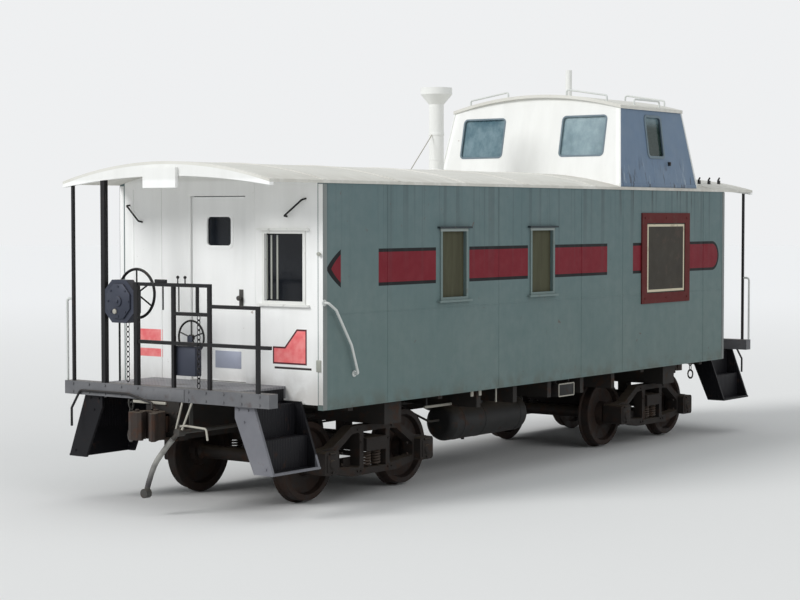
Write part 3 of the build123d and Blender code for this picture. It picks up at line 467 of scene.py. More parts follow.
def makeCupolaPaint():
    finish = Finish("cupolaPaint", metallic=0.1, specular=0.25)
    # painted shade and painted sky reflection: the silver sides are given a darker blue-grey
    finish.base(finish.noise(0.9), (92, 115, 142), (106, 126, 147))
    weather(finish, light=0.2, streak=0.08)
    foot = finish.z.below(3.62, 0.24)
    flaked = foot * finish.patches(2.6, 0.4, 0.05, stretch=(6, 6, 1.2), detail=6)
    chalked = foot * finish.patches(2.6, 0.36, 0.05, stretch=(8, 8, 0.8), shift=(5, 1, 0), detail=6)
    finish.coat(flaked * 0.75, (62, 62, 66))
    finish.coat(chalked * 0.6, (176, 186, 192))
    reach = abs(finish.x - cupola["x"]) + (finish.z - cupola["baseZ"]) * (cupolaEndLean / cupolaClimb)
    finish.coat(reach.above(cupola["baseLength"] / 2 - cupola["paleEdge"]), (233, 234, 231))
    dents = finish.noise(1.6, detail=2) + finish.noise(50) * 0.03
    return finish.surface(0.44 + finish.noise(6, detail=5) * 0.2, dents, distance=0.005, strength=0.3)


# Plain red marks on the end walls: two bars, a stepped slanting shape with a dark edge, and a line
mark = {
    "wall": 4.3805, "paintedLightZ": 3.38, "barsAcross": (0.795, 1.14), "bars": ((1.5, 1.587), (1.663, 1.795)),
    "across": (-1.19, -0.775), "height": (1.517, 1.845), "stepZ": 1.66, "slant": 1.158, "slantZ": 0.59,
    "edge": 0.018, "lineAcross": (-1.27, -0.78), "line": (1.45, 1.472)}


def makeEndPaint(name, marked=False):
    finish = Finish(name, specular=0.35)
    z = finish.z
    cloud = finish.noise(1.3, detail=5)
    finish.base(cloud, (230, 231, 228), (238, 238, 235))
    # painted light: below this height the same white is painted brighter than on the cupola ends, fascias,
    # light boxes and jack above
    finish.coat(z.below(mark["paintedLightZ"], 0.02), finish.mix(cloud, (243, 244, 243), (250, 250, 248)))
    finish.coat(finish.patches(1.8, 0.5, 0.18, stretch=(3, 3, 0.4)) * 0.07, (126, 122, 112))
    if marked:
        across = finish.y * finish.x.side() * -1
        slant = z + across * mark["slant"]
        outside = abs(finish.x).above(mark["wall"], 0.0005)

        def stepped(edge):
            # the slanting shape, larger all round by the edge
            (low, high), (bottom, top) = mark["across"], mark["height"]
            cut = z.below(mark["stepZ"] + edge) | slant.below(mark["slantZ"] + edge * 1.5)
            return across.within(low - edge, high + edge) * z.within(bottom - edge, top + edge) * cut

        bars = across.within(*mark["barsAcross"]) * sum(z.within(*bar) for bar in mark["bars"])
        line = across.within(*mark["lineAcross"]) * z.within(*mark["line"])
        pink = finish.mix(finish.patches(8, 0.5, 0.25), (240, 106, 110), (250, 154, 152))
        finish.coat(stepped(mark["edge"]) * outside, (84, 30, 38))
        finish.coat(line * outside, (44, 36, 38))
        finish.coat((bars | stepped(0)) * outside, pink)
    finish.coat(z.below(1.32, 0.2) * finish.patches(4, 0.55, 0.15) * 0.35, (120, 104, 84))
    chips = finish.patches(17, 0.28, 0.02, detail=3) * finish.patches(1.9, 0.42, 0.08)
    finish.coat(chips * 0.55, (120, 88, 66))
    dents = finish.noise(1.5, detail=2) + finish.noise(45) * 0.04
    return finish.surface(0.42 + finish.noise(6, detail=5) * 0.25, dents, distance=0.004, strength=0.3)


def makeRoofPaint():
    finish = Finish("roofPaint")
    finish.base(finish.noise(0.8, detail=6), (214, 213, 205), (232, 231, 225))
    finish.coat(finish.patches(1.2, 0.55, 0.22, detail=7) * 0.16, (138, 134, 122))
    edge = abs(finish.y).above(1.22, 0.2) * finish.patches(4, 0.55, 0.12, stretch=(2, 1, 1))
    finish.coat(edge * 0.18, (140, 132, 114))
    sooty = finish.x.within(1.2, 4.0, 0.3) * finish.z.below(3.75) * finish.patches(2.2, 0.55, 0.25, detail=7)
    finish.coat(sooty * 0.26, (116, 98, 80))
    finish.coat(finish.patches(18, 0.28, 0.03) * 0.4, (112, 100, 84))
    grit = finish.noise(2.2) + finish.noise(90) * 0.08
    return finish.surface(0.6 + finish.noise(8) * 0.25, grit, distance=0.004, strength=0.4)


def makeIron(name, tone, second, rusty=0.3, roughness=0.6, metallic=0.2, dust=0.4, rustTone=(78, 52, 38)):
    # two tones, with rust in patches and dust on what faces up
    finish = Finish(name, metallic=metallic, specular=0.28)
    finish.base(finish.noise(3.5, detail=6), tone, second)
    scale = finish.patches(8, 0.28 + 0.3 * rusty, 0.08, detail=7)
    finish.coat(scale * (0.25 + 0.6 * rusty), rustTone)
    normal = finish.add("NewGeometry", output="Normal")
    upward = finish.add("SeparateXYZ", inputs={0: normal}, output=2)
    finish.coat(upward.above(0.6, 0.35) * finish.noise(5, detail=5) * dust, (140, 126, 106))
    grain = finish.noise(40, detail=5) * 0.4 + scale * 0.5
    return finish.surface((roughness - 0.1) + scale * 0.2 + finish.noise(12) * 0.15, grain, distance=0.0012)


def makeGlass(name, shadeAndReflectionTone, second, alpha, sideShadeTint=None):
    finish = Finish(name, specular=0.3)
    film = finish.noise(2.4, detail=6, rough=0.65, stretch=(1, 1, 0.8)).above(0.52, 0.16)
    # painted reflection: the panes turn paler towards negative y
    finish.base(film * 0.45 + finish.y.below(0, 0.8) * 0.4, shadeAndReflectionTone, second)
    # painted shade: the cupola's side panes get a dark green, the shaded view through them
    if sideShadeTint:
        finish.coat(abs(finish.y).above(1.27, 0.01), sideShadeTint)
    finish.feed("Alpha", alpha + film * 0.12)
    return finish.surface(0.06 + finish.noise(9) * 0.12)


windowTrim = {"endX": 4.3, "lintelZ": 2.8465, "dripZ": 2.8762}


def makeWindowFrame():
    # side frames near the side's colour with a pale lintel and a dark drip strip; end frames white
    finish = Finish("windowFramePaint", specular=0.3)
    # the side frames take the side's darker grey, a painted shade
    finish.base(finish.noise(2.5, detail=5), (104, 122, 122), (120, 134, 131))
    finish.coat(finish.z.above(windowTrim["lintelZ"]), (148, 158, 155))
    finish.coat(finish.z.above(windowTrim["dripZ"]), (42, 52, 56))
    whites = finish.mix(finish.noise(3, detail=5), (222, 223, 219), (236, 236, 232))
    finish.coat(abs(finish.x).above(windowTrim["endX"]), whites)
    finish.coat(finish.patches(10, 0.36, 0.05, detail=5) * 0.3, (96, 92, 82))
    return finish.surface(0.45 + finish.noise(8) * 0.25, finish.noise(30), strength=0.3)


def makeBoard():
    finish = Finish("windowBoard", specular=0.2)
    ply = finish.noise(6, detail=6, rough=0.6, stretch=(6, 1, 0.5))
    finish.base(ply, (68, 68, 50), (86, 86, 68))
    finish.coat(finish.patches(3, 0.5, 0.12, stretch=(3, 3, 0.4)) * 0.4, (56, 52, 40))
    return finish.surface(0.65 + ply * 0.2, ply, distance=0.0015)


sign = {
    "x": 2.72, "z": 2.473, "halfWidth": 0.51, "halfHeight": 0.4525, "line": (-0.046, -0.016),
    "face": 1.4405, "boltX": (2.16, 2.72, 3.28), "boltZ": (1.955, 2.99), "bolt": (0.012, 0.006, 10)}


def makeSignPaint():
    # a bare field, a cream line and a red frame
    finish = Finish("signPaint", specular=0.2)
    inset = ((abs(finish.x - sign["x"]) - sign["halfWidth"])
             | (abs(finish.z - sign["z"]) - sign["halfHeight"]))
    frameRed = finish.mix(finish.noise(5, detail=5), (78, 22, 22), (94, 30, 28))
    finish.base(finish.noise(4, detail=5), (46, 42, 37), (66, 62, 54))
    finish.coat(inset.above(-0.002), frameRed)
    finish.coat(inset.within(*sign["line"]), (205, 196, 172))
    finish.coat(finish.patches(8, 0.36, 0.05, detail=6) * 0.3, (84, 66, 58))
    return finish.surface(0.5 + finish.noise(7) * 0.25, finish.noise(25), strength=0.4)


tread = {"deckPitch": 0.045, "pitchX": 0.04, "pitchY": 0.03, "stringerX": 5.129, "stringerY": 1.37}


def makeDeck():
    finish = Finish("deckSteel", metallic=0.25)
    x, y = finish.x, finish.y
    lozenge = abs((x + y).wave(tread["deckPitch"]) * (x - y).wave(tread["deckPitch"])).above(0.55, 0.12)
    rusty = finish.patches(4, 0.38, 0.08, detail=7)
    finish.base(finish.noise(2.5, detail=6), (104, 104, 108), (134, 134, 138))
    finish.coat(rusty * 0.35, (92, 72, 60))
    finish.coat(lozenge * 0.35, (158, 158, 158))
    return finish.surface(0.5 + rusty * 0.25, lozenge + finish.noise(40) * 0.2, distance=0.002, strength=0.6)


def makeStepSteel():
    finish = Finish("stepSteel", metallic=0.2, specular=0.2)
    x, y = finish.x, finish.y
    outer = abs(y).above(tread["stringerY"], 0.004)
    # painted light: the stringers' outer and end faces at the negative x, negative y corner are painted grey
    # as if sunlit, the rest stay black
    paintedSunlight = x.below(0) * y.below(0) * (abs(x).above(tread["stringerX"]) | outer)
    paintedSunlitGrey = finish.mix(finish.noise(4, detail=5), (104, 105, 112), (138, 139, 144))
    finish.base(finish.noise(3, detail=6), (15, 15, 18), (26, 26, 30))
    finish.coat(paintedSunlight * 0.85, paintedSunlitGrey)
    scale = finish.patches(8, 0.33, 0.06, detail=7)
    finish.coat(scale * 0.4, (78, 56, 44))
    holes = abs(x.wave(tread["pitchX"]) * y.wave(tread["pitchY"])).above(0.5, 0.15) * outer.below(0.5)
    return finish.surface(0.5 + scale * 0.25, holes + finish.noise(40) * 0.3, distance=0.003, strength=0.6)


def makeWheelSteel():
    finish = Finish("wheelSteel", metallic=0.35, specular=0.3)
    scale = finish.patches(7, 0.5, 0.1, detail=7)
    finish.base(finish.noise(3, detail=6), (30, 26, 25), (46, 38, 34))
    finish.coat(scale * 0.5, (62, 46, 38))
    return finish.surface(0.55 + scale * 0.25, finish.noise(35, detail=5))


bodyPaint = makeBodyPaint()
cupolaPaint = makeCupolaPaint()
endPaint = makeEndPaint("endPaint")
roofPaint = makeRoofPaint()
framePaint = makeIron("framePaint", (150, 154, 148), (172, 172, 162), rusty=0.05, roughness=0.5,
                      metallic=0.1, dust=0.2)
anglePaint = makeIron("anglePaint", (108, 118, 118), (138, 140, 137), rusty=0.12, metallic=0.05, dust=0.0,
                      rustTone=(112, 88, 78))
railingPaint = makeIron("railingPaint", (16, 16, 18), (30, 30, 32), rusty=0.12, roughness=0.45, metallic=0.1,
                        dust=0.24)
handrailPaint = makeIron("handrailPaint", (196, 200, 198), (220, 222, 218), rusty=0.05, roughness=0.5,
                         metallic=0.0, dust=0.2)
underframeSteel = makeIron("underframeSteel", (30, 29, 29), (50, 46, 42), rusty=0.35, roughness=0.7)
sillSteel = makeIron("sillSteel", (84, 86, 90), (122, 122, 124), rusty=0.22)
truckIron = makeIron("truckIron", (30, 28, 28), (48, 42, 38), rusty=0.4, roughness=0.75,
                     rustTone=(66, 48, 38))
axleSteel = makeIron("axleSteel", (34, 31, 30), (52, 46, 42), rusty=0.4, metallic=0.4)
couplerIron = makeIron("couplerIron", (40, 35, 33), (60, 50, 44), rusty=0.45, roughness=0.7)
springSteel = makeIron("springSteel", (44, 38, 34), (64, 52, 44), rusty=0.45)
pipeSteel = makeIron("pipeSteel", (54, 53, 52), (84, 82, 78), rusty=0.35)
paleSteel = makeIron("paleSteel", (150, 148, 140), (184, 180, 168), rusty=0.2, metallic=0.1)
tankPaint = makeIron("tankPaint", (30, 31, 32), (46, 45, 44))
brakeBoxPaint = makeIron("brakeBoxPaint", (48, 52, 64), (62, 66, 78), rusty=0.08, roughness=0.5)
platePaint = makeIron("platePaint", (152, 158, 176), (176, 180, 194), rusty=0.05, roughness=0.5)
gasketRubber = makeIron("gasketRubber", (96, 112, 122), (122, 136, 144), rusty=0.0, roughness=0.7,
                        metallic=0.0, dust=0.2)
signPaint = makeSignPaint()
stepSteel = makeStepSteel()
finishes = {
    bodyPaint: ["side_wall_right", "side_wall_left"], cupolaPaint: ["cupola_sides"],
    makeEndPaint("endWallPaint", marked=True): ["end_wall_a", "end_wall_b"],
    endPaint: ["door_a", "door_b", "cupola_ends", "roof_fascias", "end_light_boxes", "smoke_jack",
               "roof_vent"],
    roofPaint: ["roof", "cupola_roof"], makeWindowFrame(): ["window_frames"],
    makeBoard(): ["side_window_panels"], signPaint: ["sign_boards"],
    # the end and door panes are near opaque and dark, painted shade for the rooms behind; the cupola panes'
    # milky blue is a painted sky reflection
    makeGlass("endGlass", (9, 12, 17), (20, 24, 30), 0.93): ["end_window_panes"],
    makeGlass("doorGlass", (12, 17, 24), (24, 30, 38), 0.86): ["door_pane_a", "door_pane_b"],
    makeGlass("cupolaGlass", (76, 110, 124), (170, 192, 198), 0.7, sideShadeTint=(50, 66, 62)): ["cupola_panes"],
    railingPaint: ["end_railings", "brake_wheels", "uncoupling_levers"], handrailPaint: ["handrails"],
    brakeBoxPaint: ["hand_brakes"], makeDeck(): ["platform_decks"], stepSteel: ["steps"],
    sillSteel: ["end_sills"], underframeSteel: ["floor", "centre_sill", "cross_members"],
    tankPaint: ["air_reservoir", "brake_cylinder"], pipeSteel: ["brake_pipe", "gladhand_a", "gladhand_b"],
    couplerIron: ["couplers", "knuckles"],
    truckIron: [part + end for end in carEnds
                for part in ("side_frames_", "truck_bolster_", "brake_beams_")],
    makeWheelSteel(): ["wheels_" + number for number in "1234"],
    axleSteel: ["axle_" + number for number in "1234"]}
for finish, names in finishes.items():
    for name in names:
        for slot in nodes[name].material_slots:
            slot.material = finish.material
print("finishes on", sum(len(names) for names in finishes.values()), "nodes")

# Coil springs in the trucks
trucks = {"truck_b": -3.048, "truck_a": 3.048}
coil = {
    "wire": 0.026, "sides": 8, "outer": 0.128, "turns": 5, "steps": 18, "low": 0.32, "high": 0.5,
    "along": (-0.085, 0.085), "across": 0.9905}


def windSpring(bm, x, y):
    wire = coil["wire"] / 2
    steps = coil["turns"] * coil["steps"]
    climb = (coil["high"] - coil["low"] - 2 * wire) / steps
    foot = Matrix.Translation((x + coil["outer"] / 2 - wire, y, coil["low"] + wire))
    ring = bmesh.ops.create_circle(bm, segments=coil["sides"], radius=wire,
                                   matrix=foot @ Matrix.Rotation(math.pi / 2, 4, "X"))
    edges = edgesOf(ring["verts"])
    made = bmesh.ops.spin(bm, geom=ring["verts"] + edges, cent=(x, y, 0), axis=(0, 0, 1), dvec=(0, 0, climb),
                          angle=coil["turns"] * math.tau, steps=steps)
    last = [part for part in made["geom_last"] if isinstance(part, bmesh.types.BMEdge)]
    bmesh.ops.holes_fill(bm, edges=edges + last, sides=coil["sides"])


for body, truckX in trucks.items():
    bm = bmesh.new()
    for along in coil["along"]:
        for side in (-1, 1):
            windSpring(bm, truckX + along, side * coil["across"])
    piece = finishPiece("coilSprings_" + body[-1], bm, springSteel, body)
    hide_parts("springs_" + body[-1])
print("springs wound")

# Angles down the body's corners, one leg on the side and one on the end
angle = {
    "leg": 0.058, "thick": 0.005, "low": 1.056, "endLow": 1.106, "high": 3.338, "x": 4.3815, "y": 1.4225}
sideLegs, endLegs = bmesh.new(), bmesh.new()
leg, thick = angle["leg"], angle["thick"]
for end, side in carCorners:
    x, y = end * angle["x"], side * angle["y"]
    addBlock(sideLegs, (x + end * thick, y, angle["low"]), (x - end * leg, y + side * thick, angle["high"]),
             bevel=0.0015)
    addBlock(endLegs, (x, y, angle["endLow"]), (x + end * thick, y - side * leg, angle["high"]),
             bevel=0.0015)
finishPiece("sideAngles", sideLegs, anglePaint)
finishPiece("cornerAngles", endLegs, endPaint)

# Seams between the side's sheets, with a lap at the height of the window sills
seams = {
    "y": 1.4225, "proud": 0.0022, "half": 0.006, "low": 1.06, "high": 3.33,
    "places": (-3.3, -1.19, 0.62, 1.62, 3.78), "lap": (2.008, 2.02),
    "lapRuns": ((-4.32, 2.07), (3.37, 4.32))}
bm = bmesh.new()
for side in (-1, 1):
    near, far = side * seams["y"], side * (seams["y"] + seams["proud"])
    for x in seams["places"]:
        left, right = x - seams["half"], x + seams["half"]
        addBlock(bm, (left, near, seams["low"]), (right, far, seams["high"]), bevel=0.0008)
    for low, high in seams["lapRuns"]:
        addBlock(bm, (low, near, seams["lap"][0]), (high, far, seams["lap"][1]), bevel=0.0008)
finishPiece("sideSeams", bm, bodyPaint)

# Battens up the end walls, each with the height of its top
battens = {
    "x": 4.3815, "proud": 0.004, "half": 0.008, "low": 1.12,
    "tops": {1.224: 3.3, 0.809: 3.38, -0.514: 3.4}}
bm = bmesh.new()
for turn in (-1, 1):
    near, far = turn * battens["x"], turn * (battens["x"] + battens["proud"])
    for y, top in battens["tops"].items():
        left, right = -turn * y - battens["half"], -turn * y + battens["half"]
        addBlock(bm, (near, left, battens["low"]), (far, right, top), bevel=0.001)
finishPiece("endWallBattens", bm, endPaint)
print("strips laid")

# Roof ribs, bent over the roof's arc
roofArc = {"radius": 5.4585, "centre": -1.8895, "half": 1.425}
ribs = {
    "places": (-4.36, -3.1, -1.85, -0.6, 0.95, 4.02), "width": 0.045, "sunk": 0.003, "proud": 0.006,
    "steps": 40}


def roofHeight(y):
    return roofArc["centre"] + math.sqrt(roofArc["radius"] ** 2 - y * y)


bm = bmesh.new()
arc = 2 * math.asin(roofArc["half"] / roofArc["radius"])
low, high = roofArc["radius"] - ribs["sunk"], roofArc["radius"] + ribs["proud"]
start = Matrix.Translation((0, 0, roofArc["centre"])) @ Matrix.Rotation(-arc / 2, 4, "X")
section = Matrix.Rotation(math.pi / 2, 4, "X") @ Matrix.Diagonal((ribs["width"], high - low, 1, 1))
for x in ribs["places"]:
    made = bmesh.ops.create_grid(bm, x_segments=1, y_segments=1, size=0.5,
                                 matrix=start @ Matrix.Translation((x, 0, (low + high) / 2)) @ section)
    faces = list({face for vert in made["verts"] for face in vert.link_faces})
    bmesh.ops.spin(bm, geom=made["verts"] + edgesOf(made["verts"]) + faces, cent=(0, 0, roofArc["centre"]),
                   axis=(1, 0, 0), angle=arc, steps=ribs["steps"])
finishPiece("roofRibs", bm, roofPaint)

# Gaskets round the cupola's windows: how much larger, then corner, rim and how proud
gasket = {"end": (0.012, 0.06, 0.022, 0.005), "side": (0.03, 0.07, 0.034, 0.01)}
share = (cupola["windowZ"] - cupola["baseZ"]) / cupolaClimb
slope = math.hypot(cupolaClimb, cupolaEndLean) / cupolaClimb
bm = bmesh.new()
larger, *ring = gasket["end"]
wide, tall = cupola["endWindow"]
for end, side in carCorners:
    x = cupola["x"] + end * (cupola["baseLength"] / 2 - cupolaEndLean * share)
    place = facing((x, side * cupola["endY"], cupola["windowZ"]), (end * cupolaClimb, 0, cupolaEndLean))
    addRing(bm, place, wide + larger, tall * slope + larger, *ring)
larger, *ring = gasket["side"]
wide, tall = cupola["sideWindow"]
for side in (-1, 1):
    y = side * (cupola["baseWidth"] / 2 - cupolaSideLean * share)
    place = facing((cupola["x"], y, cupola["windowZ"]), (0, side * cupolaClimb, cupolaSideLean))
    addRing(bm, place, wide + larger, tall + larger, *ring)
finishPiece("cupolaGaskets", bm, gasketRubber)
print("cupola trimmed")

# Door knobs on their locks, window rims and plain plates; a disc is low, high, radius, sides and bevel
doorFitting = {
    "face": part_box("door_a")[1].x, "knobPlace": (0.31, 2.16), "lock": (0.006, 0.028, 0.09),
    "stem": (0, 0.035, 0.011, 12), "knob": (0.03, 0.058, 0.026, 20, 0.007),
    "window": (0.0, 2.855), "rim": (0.4, 0.37, 0.06, 0.03, 0.006),
    "plate": (0.305, -0.055, 1.42, 1.6), "plateThick": 0.004, "inset": 0.015, "bolt": (0.005, 0.003, 8)}
for end, turn in carEnds.items():
    body = end + "_door"
    face, out = doorFitting["face"] * turn, Vector((turn, 0, 0))
    y, z = doorFitting["knobPlace"]
    spot = Vector((face, turn * y, z))
    depth, wide, tall = doorFitting["lock"]
    bm = bmesh.new()
    addBlock(bm, spot - Vector((0, wide, tall)), spot + Vector((turn * depth, wide, tall)), bevel=0.002)
    addDisc(bm, spot, out, *doorFitting["stem"])
    addDisc(bm, spot, out, *doorFitting["knob"])
    finishPiece("doorKnob_" + end, bm, pipeSteel, body)
    bm = bmesh.new()
    addRing(bm, facing((face, *doorFitting["window"]), out), *doorFitting["rim"])
    finishPiece("doorWindowRim_" + end, bm, endPaint, body)
    bm = bmesh.new()
    low, high, bottom, top = doorFitting["plate"]
    front, inset = face + turn * doorFitting["plateThick"], doorFitting["inset"]
    spots = [(front, turn * y, z) for y in (low - inset, high + inset)
             for z in (bottom + inset, top - inset)]
    addBlock(bm, (face, turn * low, bottom), (front, turn * high, top), bevel=0.001)
    addBolts(bm, spots, out, *doorFitting["bolt"])
    finishPiece("doorPlate_" + end, bm, platePaint, body)
print("doors fitted")

# The gate's chain, box and hand wheel, and a short safety chain under the end sill
gate = {
    "box": ((5.068, 0.1, 1.398), (5.166, 0.4, 1.7)), "bracket": ((5.058, 0.203, 1.6), (5.07, 0.267, 1.8)),
    "link": (0.03, 0.02, 0.0042), "chain": ((5.208, 0.49, 2.02), (5.212, 0.49, 1.29)),
    "wheel": (5.042, 0.235, 1.78), "radius": 0.172, "wire": 0.0105, "spokes": 5, "spoke": (0.00735, 8),
    "spokeFoot": 0.0256, "hub": (-0.022, 0.022, 0.032, 20, 0.004)}
safety = {
    "eye": (5.16, -0.5, 1.09), "end": (5.165, -0.505, 0.8), "link": (0.042, 0.027, 0.0065),
    "ring": (0.06, 0.04, 0.01), "ringZ": 0.745}


def addLink(bm, centre, along, twist, link):
    long, wide, wire = link
    place = facing(centre, along, (1, 0, 0.01)) @ Matrix.Rotation(twist, 4, "Z")
    hoop = addHoop(bm, (0, 0, 0), (wide, 0, 0), wire, (0, 1, 0), sides=6, steps=10)
    bmesh.ops.transform(bm, matrix=place @ Matrix.Diagonal((1, 1, long / wide, 1)), verts=hoop)


def addChain(bm, start, end, link=gate["link"]):
    start, end = Vector(start), Vector(end)
    count = max(3, int((end - start).length / (1.6 * link[0])))  # neighbouring links overlap
    steps = [start.lerp(end, step / count) for step in range(count + 1)]
    for number, (first, second) in enumerate(zip(steps, steps[1:])):
        addLink(bm, (first + second) / 2, second - first, math.pi / 2 * (number % 2), link)


for end, turn in carEnds.items():
    bm = bmesh.new()
    addChain(bm, *turned(gate["chain"], turn))
    finishPiece("gateChains_" + end, bm, railingPaint)
    bm = bmesh.new()
    addBlock(bm, *turned(gate["box"], turn), bevel=0.008)
    addBlock(bm, *turned(gate["bracket"], turn), bevel=0.003)
    finishPiece("gateBox_" + end, bm, brakeBoxPaint)
    bm = bmesh.new()
    wheel = Vector(turned([gate["wheel"]], turn)[0])
    addHoop(bm, wheel, (0, gate["radius"], 0), gate["wire"], (1, 0, 0), sides=10, steps=40)
    for spoke in spread(gate["spokes"], 1, 1, start=0.25):
        addDisc(bm, wheel, spoke, gate["spokeFoot"], gate["radius"], *gate["spoke"])
    addDisc(bm, wheel, Vector((1, 0, 0)), *gate["hub"])
    finishPiece("gateWheel_" + end, bm, railingPaint)
    bm = bmesh.new()
    eye, last = turned((safety["eye"], safety["end"]), turn)
    addLink(bm, eye, (0, 0, 1), math.pi / 2, safety["ring"])
    addChain(bm, eye, last, safety["link"])
    addLink(bm, (*last[:2], safety["ringZ"]), (0, 0, 1), 0, safety["ring"])
    finishPiece("safetyChain_" + end, bm, pipeSteel)
print("gates hung")

# Hand brakes: an eight-sided cover with its boss, nut and bolts, and a chain, a rod and a pawl
brake = {
    "face": 5.2145, "cover": (-0.616, 2.1325), "radius": 0.195, "thick": 0.018, "squeeze": 0.92,
    "boss": (0.016, 0.032, 0.055, 20, 0.004), "nut": (0.03, 0.044, 0.018, 6, 0.002),
    "rim": (8, 0.145, 0.155), "bolt": (0.011, 0.009), "chain": ((5.155, -0.55, 1.92), (5.155, -0.55, 1.3)),
    "rod": ((5.155, -0.672, 1.93), (5.155, -0.672, 1.3)), "rodRadius": 0.01,
    "pawlPlace": (-0.655, 2.028), "pawl": (0.017, 0.034, 0.026, 16, 0.003)}
for end, turn in carEnds.items():
    y, z = brake["cover"]
    face, out = turn * brake["face"], Vector((turn, 0, 0))
    middle = Vector((face, turn * y, z))
    place = Matrix.Translation(middle + out * (brake["thick"] / 2)) @ Matrix.Rotation(math.pi / 2, 4, "Y")
    radius = brake["radius"]
    bm = bmesh.new()
    made = bmesh.ops.create_cone(bm, cap_ends=True, segments=8, radius1=radius, radius2=radius,
                                 depth=brake["thick"], matrix=place @ Matrix.Rotation(math.pi / 8, 4, "Z"))
    bmesh.ops.scale(bm, vec=(1, brake["squeeze"], 1), space=Matrix.Translation(-middle), verts=made["verts"])
    bevelSharp(bm, made["verts"], 0.005)
    addDisc(bm, middle, out, *brake["boss"])
    addDisc(bm, middle, out, *brake["nut"])
    spots = [middle + out * brake["thick"] + step for step in spread(*brake["rim"])]
    addBolts(bm, spots, out, *brake["bolt"])
    finishPiece("brakeCover_" + end, bm, brakeBoxPaint)
    bm = bmesh.new()
    addChain(bm, *turned(brake["chain"], turn))
    finishPiece("brakeChain_" + end, bm, railingPaint)
    addRods("brakeRod_" + end, [turned(brake["rod"], turn)], brake["rodRadius"], railingPaint)
    bm = bmesh.new()
    y, z = brake["pawlPlace"]
    addDisc(bm, Vector((face, turn * y, z)), out, *brake["pawl"])
    finishPiece("brakePawl_" + end, bm, paleSteel)
print("hand brakes dressed")

# End sills: two rows of bolts, a plate, a pale bar, and the angle cock's brackets and handle
sill = {
    "face": 5.2195, "rows": (1.165, 1.248), "pitch": 0.236, "count": 12, "bolt": (0.013, 0.01, 8),
    "plate": (0.3, 1.14, 1.262), "plateThick": 0.008, "bar": (-0.404, 0.055, 1.098, 1.126),
    "barThick": 0.018,
    "brackets": (((5.205, 0.262, 1.14), (5.335, 0.29, 0.872)),
                 ((5.205, 0.392, 1.14), (5.335, 0.372, 0.872)),
                 ((5.3195, 0.33, 0.905), (5.33, 0.42, 0.918), (5.335, 0.7, 0.905), (5.335, 0.72, 0.79))),
    "bracketRadius": 0.011}
for end, turn in carEnds.items():
    bm = bmesh.new()
    face = turn * sill["face"]
    row = [(step - (sill["count"] - 1) / 2) * sill["pitch"] for step in range(sill["count"])]
    addBolts(bm, [(face, y, z) for y in row for z in sill["rows"]], (turn, 0, 0), *sill["bolt"])
    half, bottom, top = sill["plate"]
    addBlock(bm, (face, -half, bottom), (face + turn * sill["plateThick"], half, top), bevel=0.002)
    finishPiece("endSillBolts_" + end, bm, sillSteel)
    bm = bmesh.new()
    low, high, bottom, top = sill["bar"]
    addBlock(bm, (face, turn * low, bottom), (face + turn * sill["barThick"], turn * high, top), bevel=0.003)
    finishPiece("sillBar_" + end, bm, paleSteel)
    addRods("cockBrackets_" + end, [turned(route, turn) for route in sill["brackets"]],
            sill["bracketRadius"], paleSteel, bend=0.05)

# Knobs, rods and a block at the gate's top rail
latch = {
    "rail": 2.334, "x": 5.1895, "knobs": (0.19, 0.29), "stalk": (0, 0.055, 0.007, 8), "ball": (0.062, 0.017),
    "rods": ((0.204, 2.05, 0.007), (0.456, 2.04, 0.019), (-0.015, 2.06, 0.008)), "rodTop": 2.3,
    "block": ((5.178, -0.125, 2.334), (5.202, 0.035, 2.37))}
up = Vector((0, 0, 1))
for end, turn in carEnds.items():
    bm = bmesh.new()
    for y in latch["knobs"]:
        foot = Vector((turn * latch["x"], turn * y, latch["rail"]))
        rise, radius = latch["ball"]
        place = Matrix.Translation(foot + up * rise)
        addDisc(bm, foot, up, *latch["stalk"])
        bmesh.ops.create_icosphere(bm, subdivisions=2, radius=radius, matrix=place)
    for y, low, radius in latch["rods"]:
        foot = (turn * latch["x"], turn * y)
        addRound(bm, (*foot, low), (*foot, latch["rodTop"]), radius, sides=10)
    addBlock(bm, *turned(latch["block"], turn), bevel=0.005)
    finishPiece("gateLatch_" + end, bm, railingPaint)
print("end sills dressed")

# End walls: loops for marker lamps, a knob and a cleat at the corner, and strips in the window
endFitting = {
    "wall": 4.3815, "loopRadius": 0.01,
    "loops": (((4.38, -1.28, 3.13), (4.432, -1.275, 3.125), (4.432, -1.1, 2.96), (4.38, -1.09, 2.95)),
              ((4.38, 0.95, 3.01), (4.432, 0.955, 3.015), (4.432, 1.19, 3.18), (4.38, 1.2, 3.19))),
    "knobPlace": (1.39, 2.632), "stem": (0, 0.03, 0.01, 10), "knob": (0.024, 0.042, 0.022, 16, 0.005),
    "cleat": ((4.3815, 1.345, 1.44), (4.4035, 1.4, 1.56)), "pane": (4.3525, 4.3575),
    "strips": (0.66, 0.72, 0.8), "stripHalf": 0.011, "stripZ": (2.16, 2.82)}
for end, turn in carEnds.items():
    addRods("markerLoops_" + end, [turned(route, turn) for route in endFitting["loops"]],
            endFitting["loopRadius"], railingPaint)
    bm = bmesh.new()
    y, z = endFitting["knobPlace"]
    spot, out = Vector((turn * endFitting["wall"], turn * y, z)), Vector((turn, 0, 0))
    addDisc(bm, spot, out, *endFitting["stem"])
    addDisc(bm, spot, out, *endFitting["knob"])
    addBlock(bm, *turned(endFitting["cleat"], turn), bevel=0.006)
    finishPiece("cornerFittings_" + end, bm, framePaint)
    bm = bmesh.new()
    half = endFitting["stripHalf"]
    for y in endFitting["strips"]:
        corners = zip(endFitting["pane"], (y - half, y + half), endFitting["stripZ"])
        addBlock(bm, *turned(corners, turn), bevel=0.001)
    finishPiece("windowStrips_" + end, bm, framePaint)

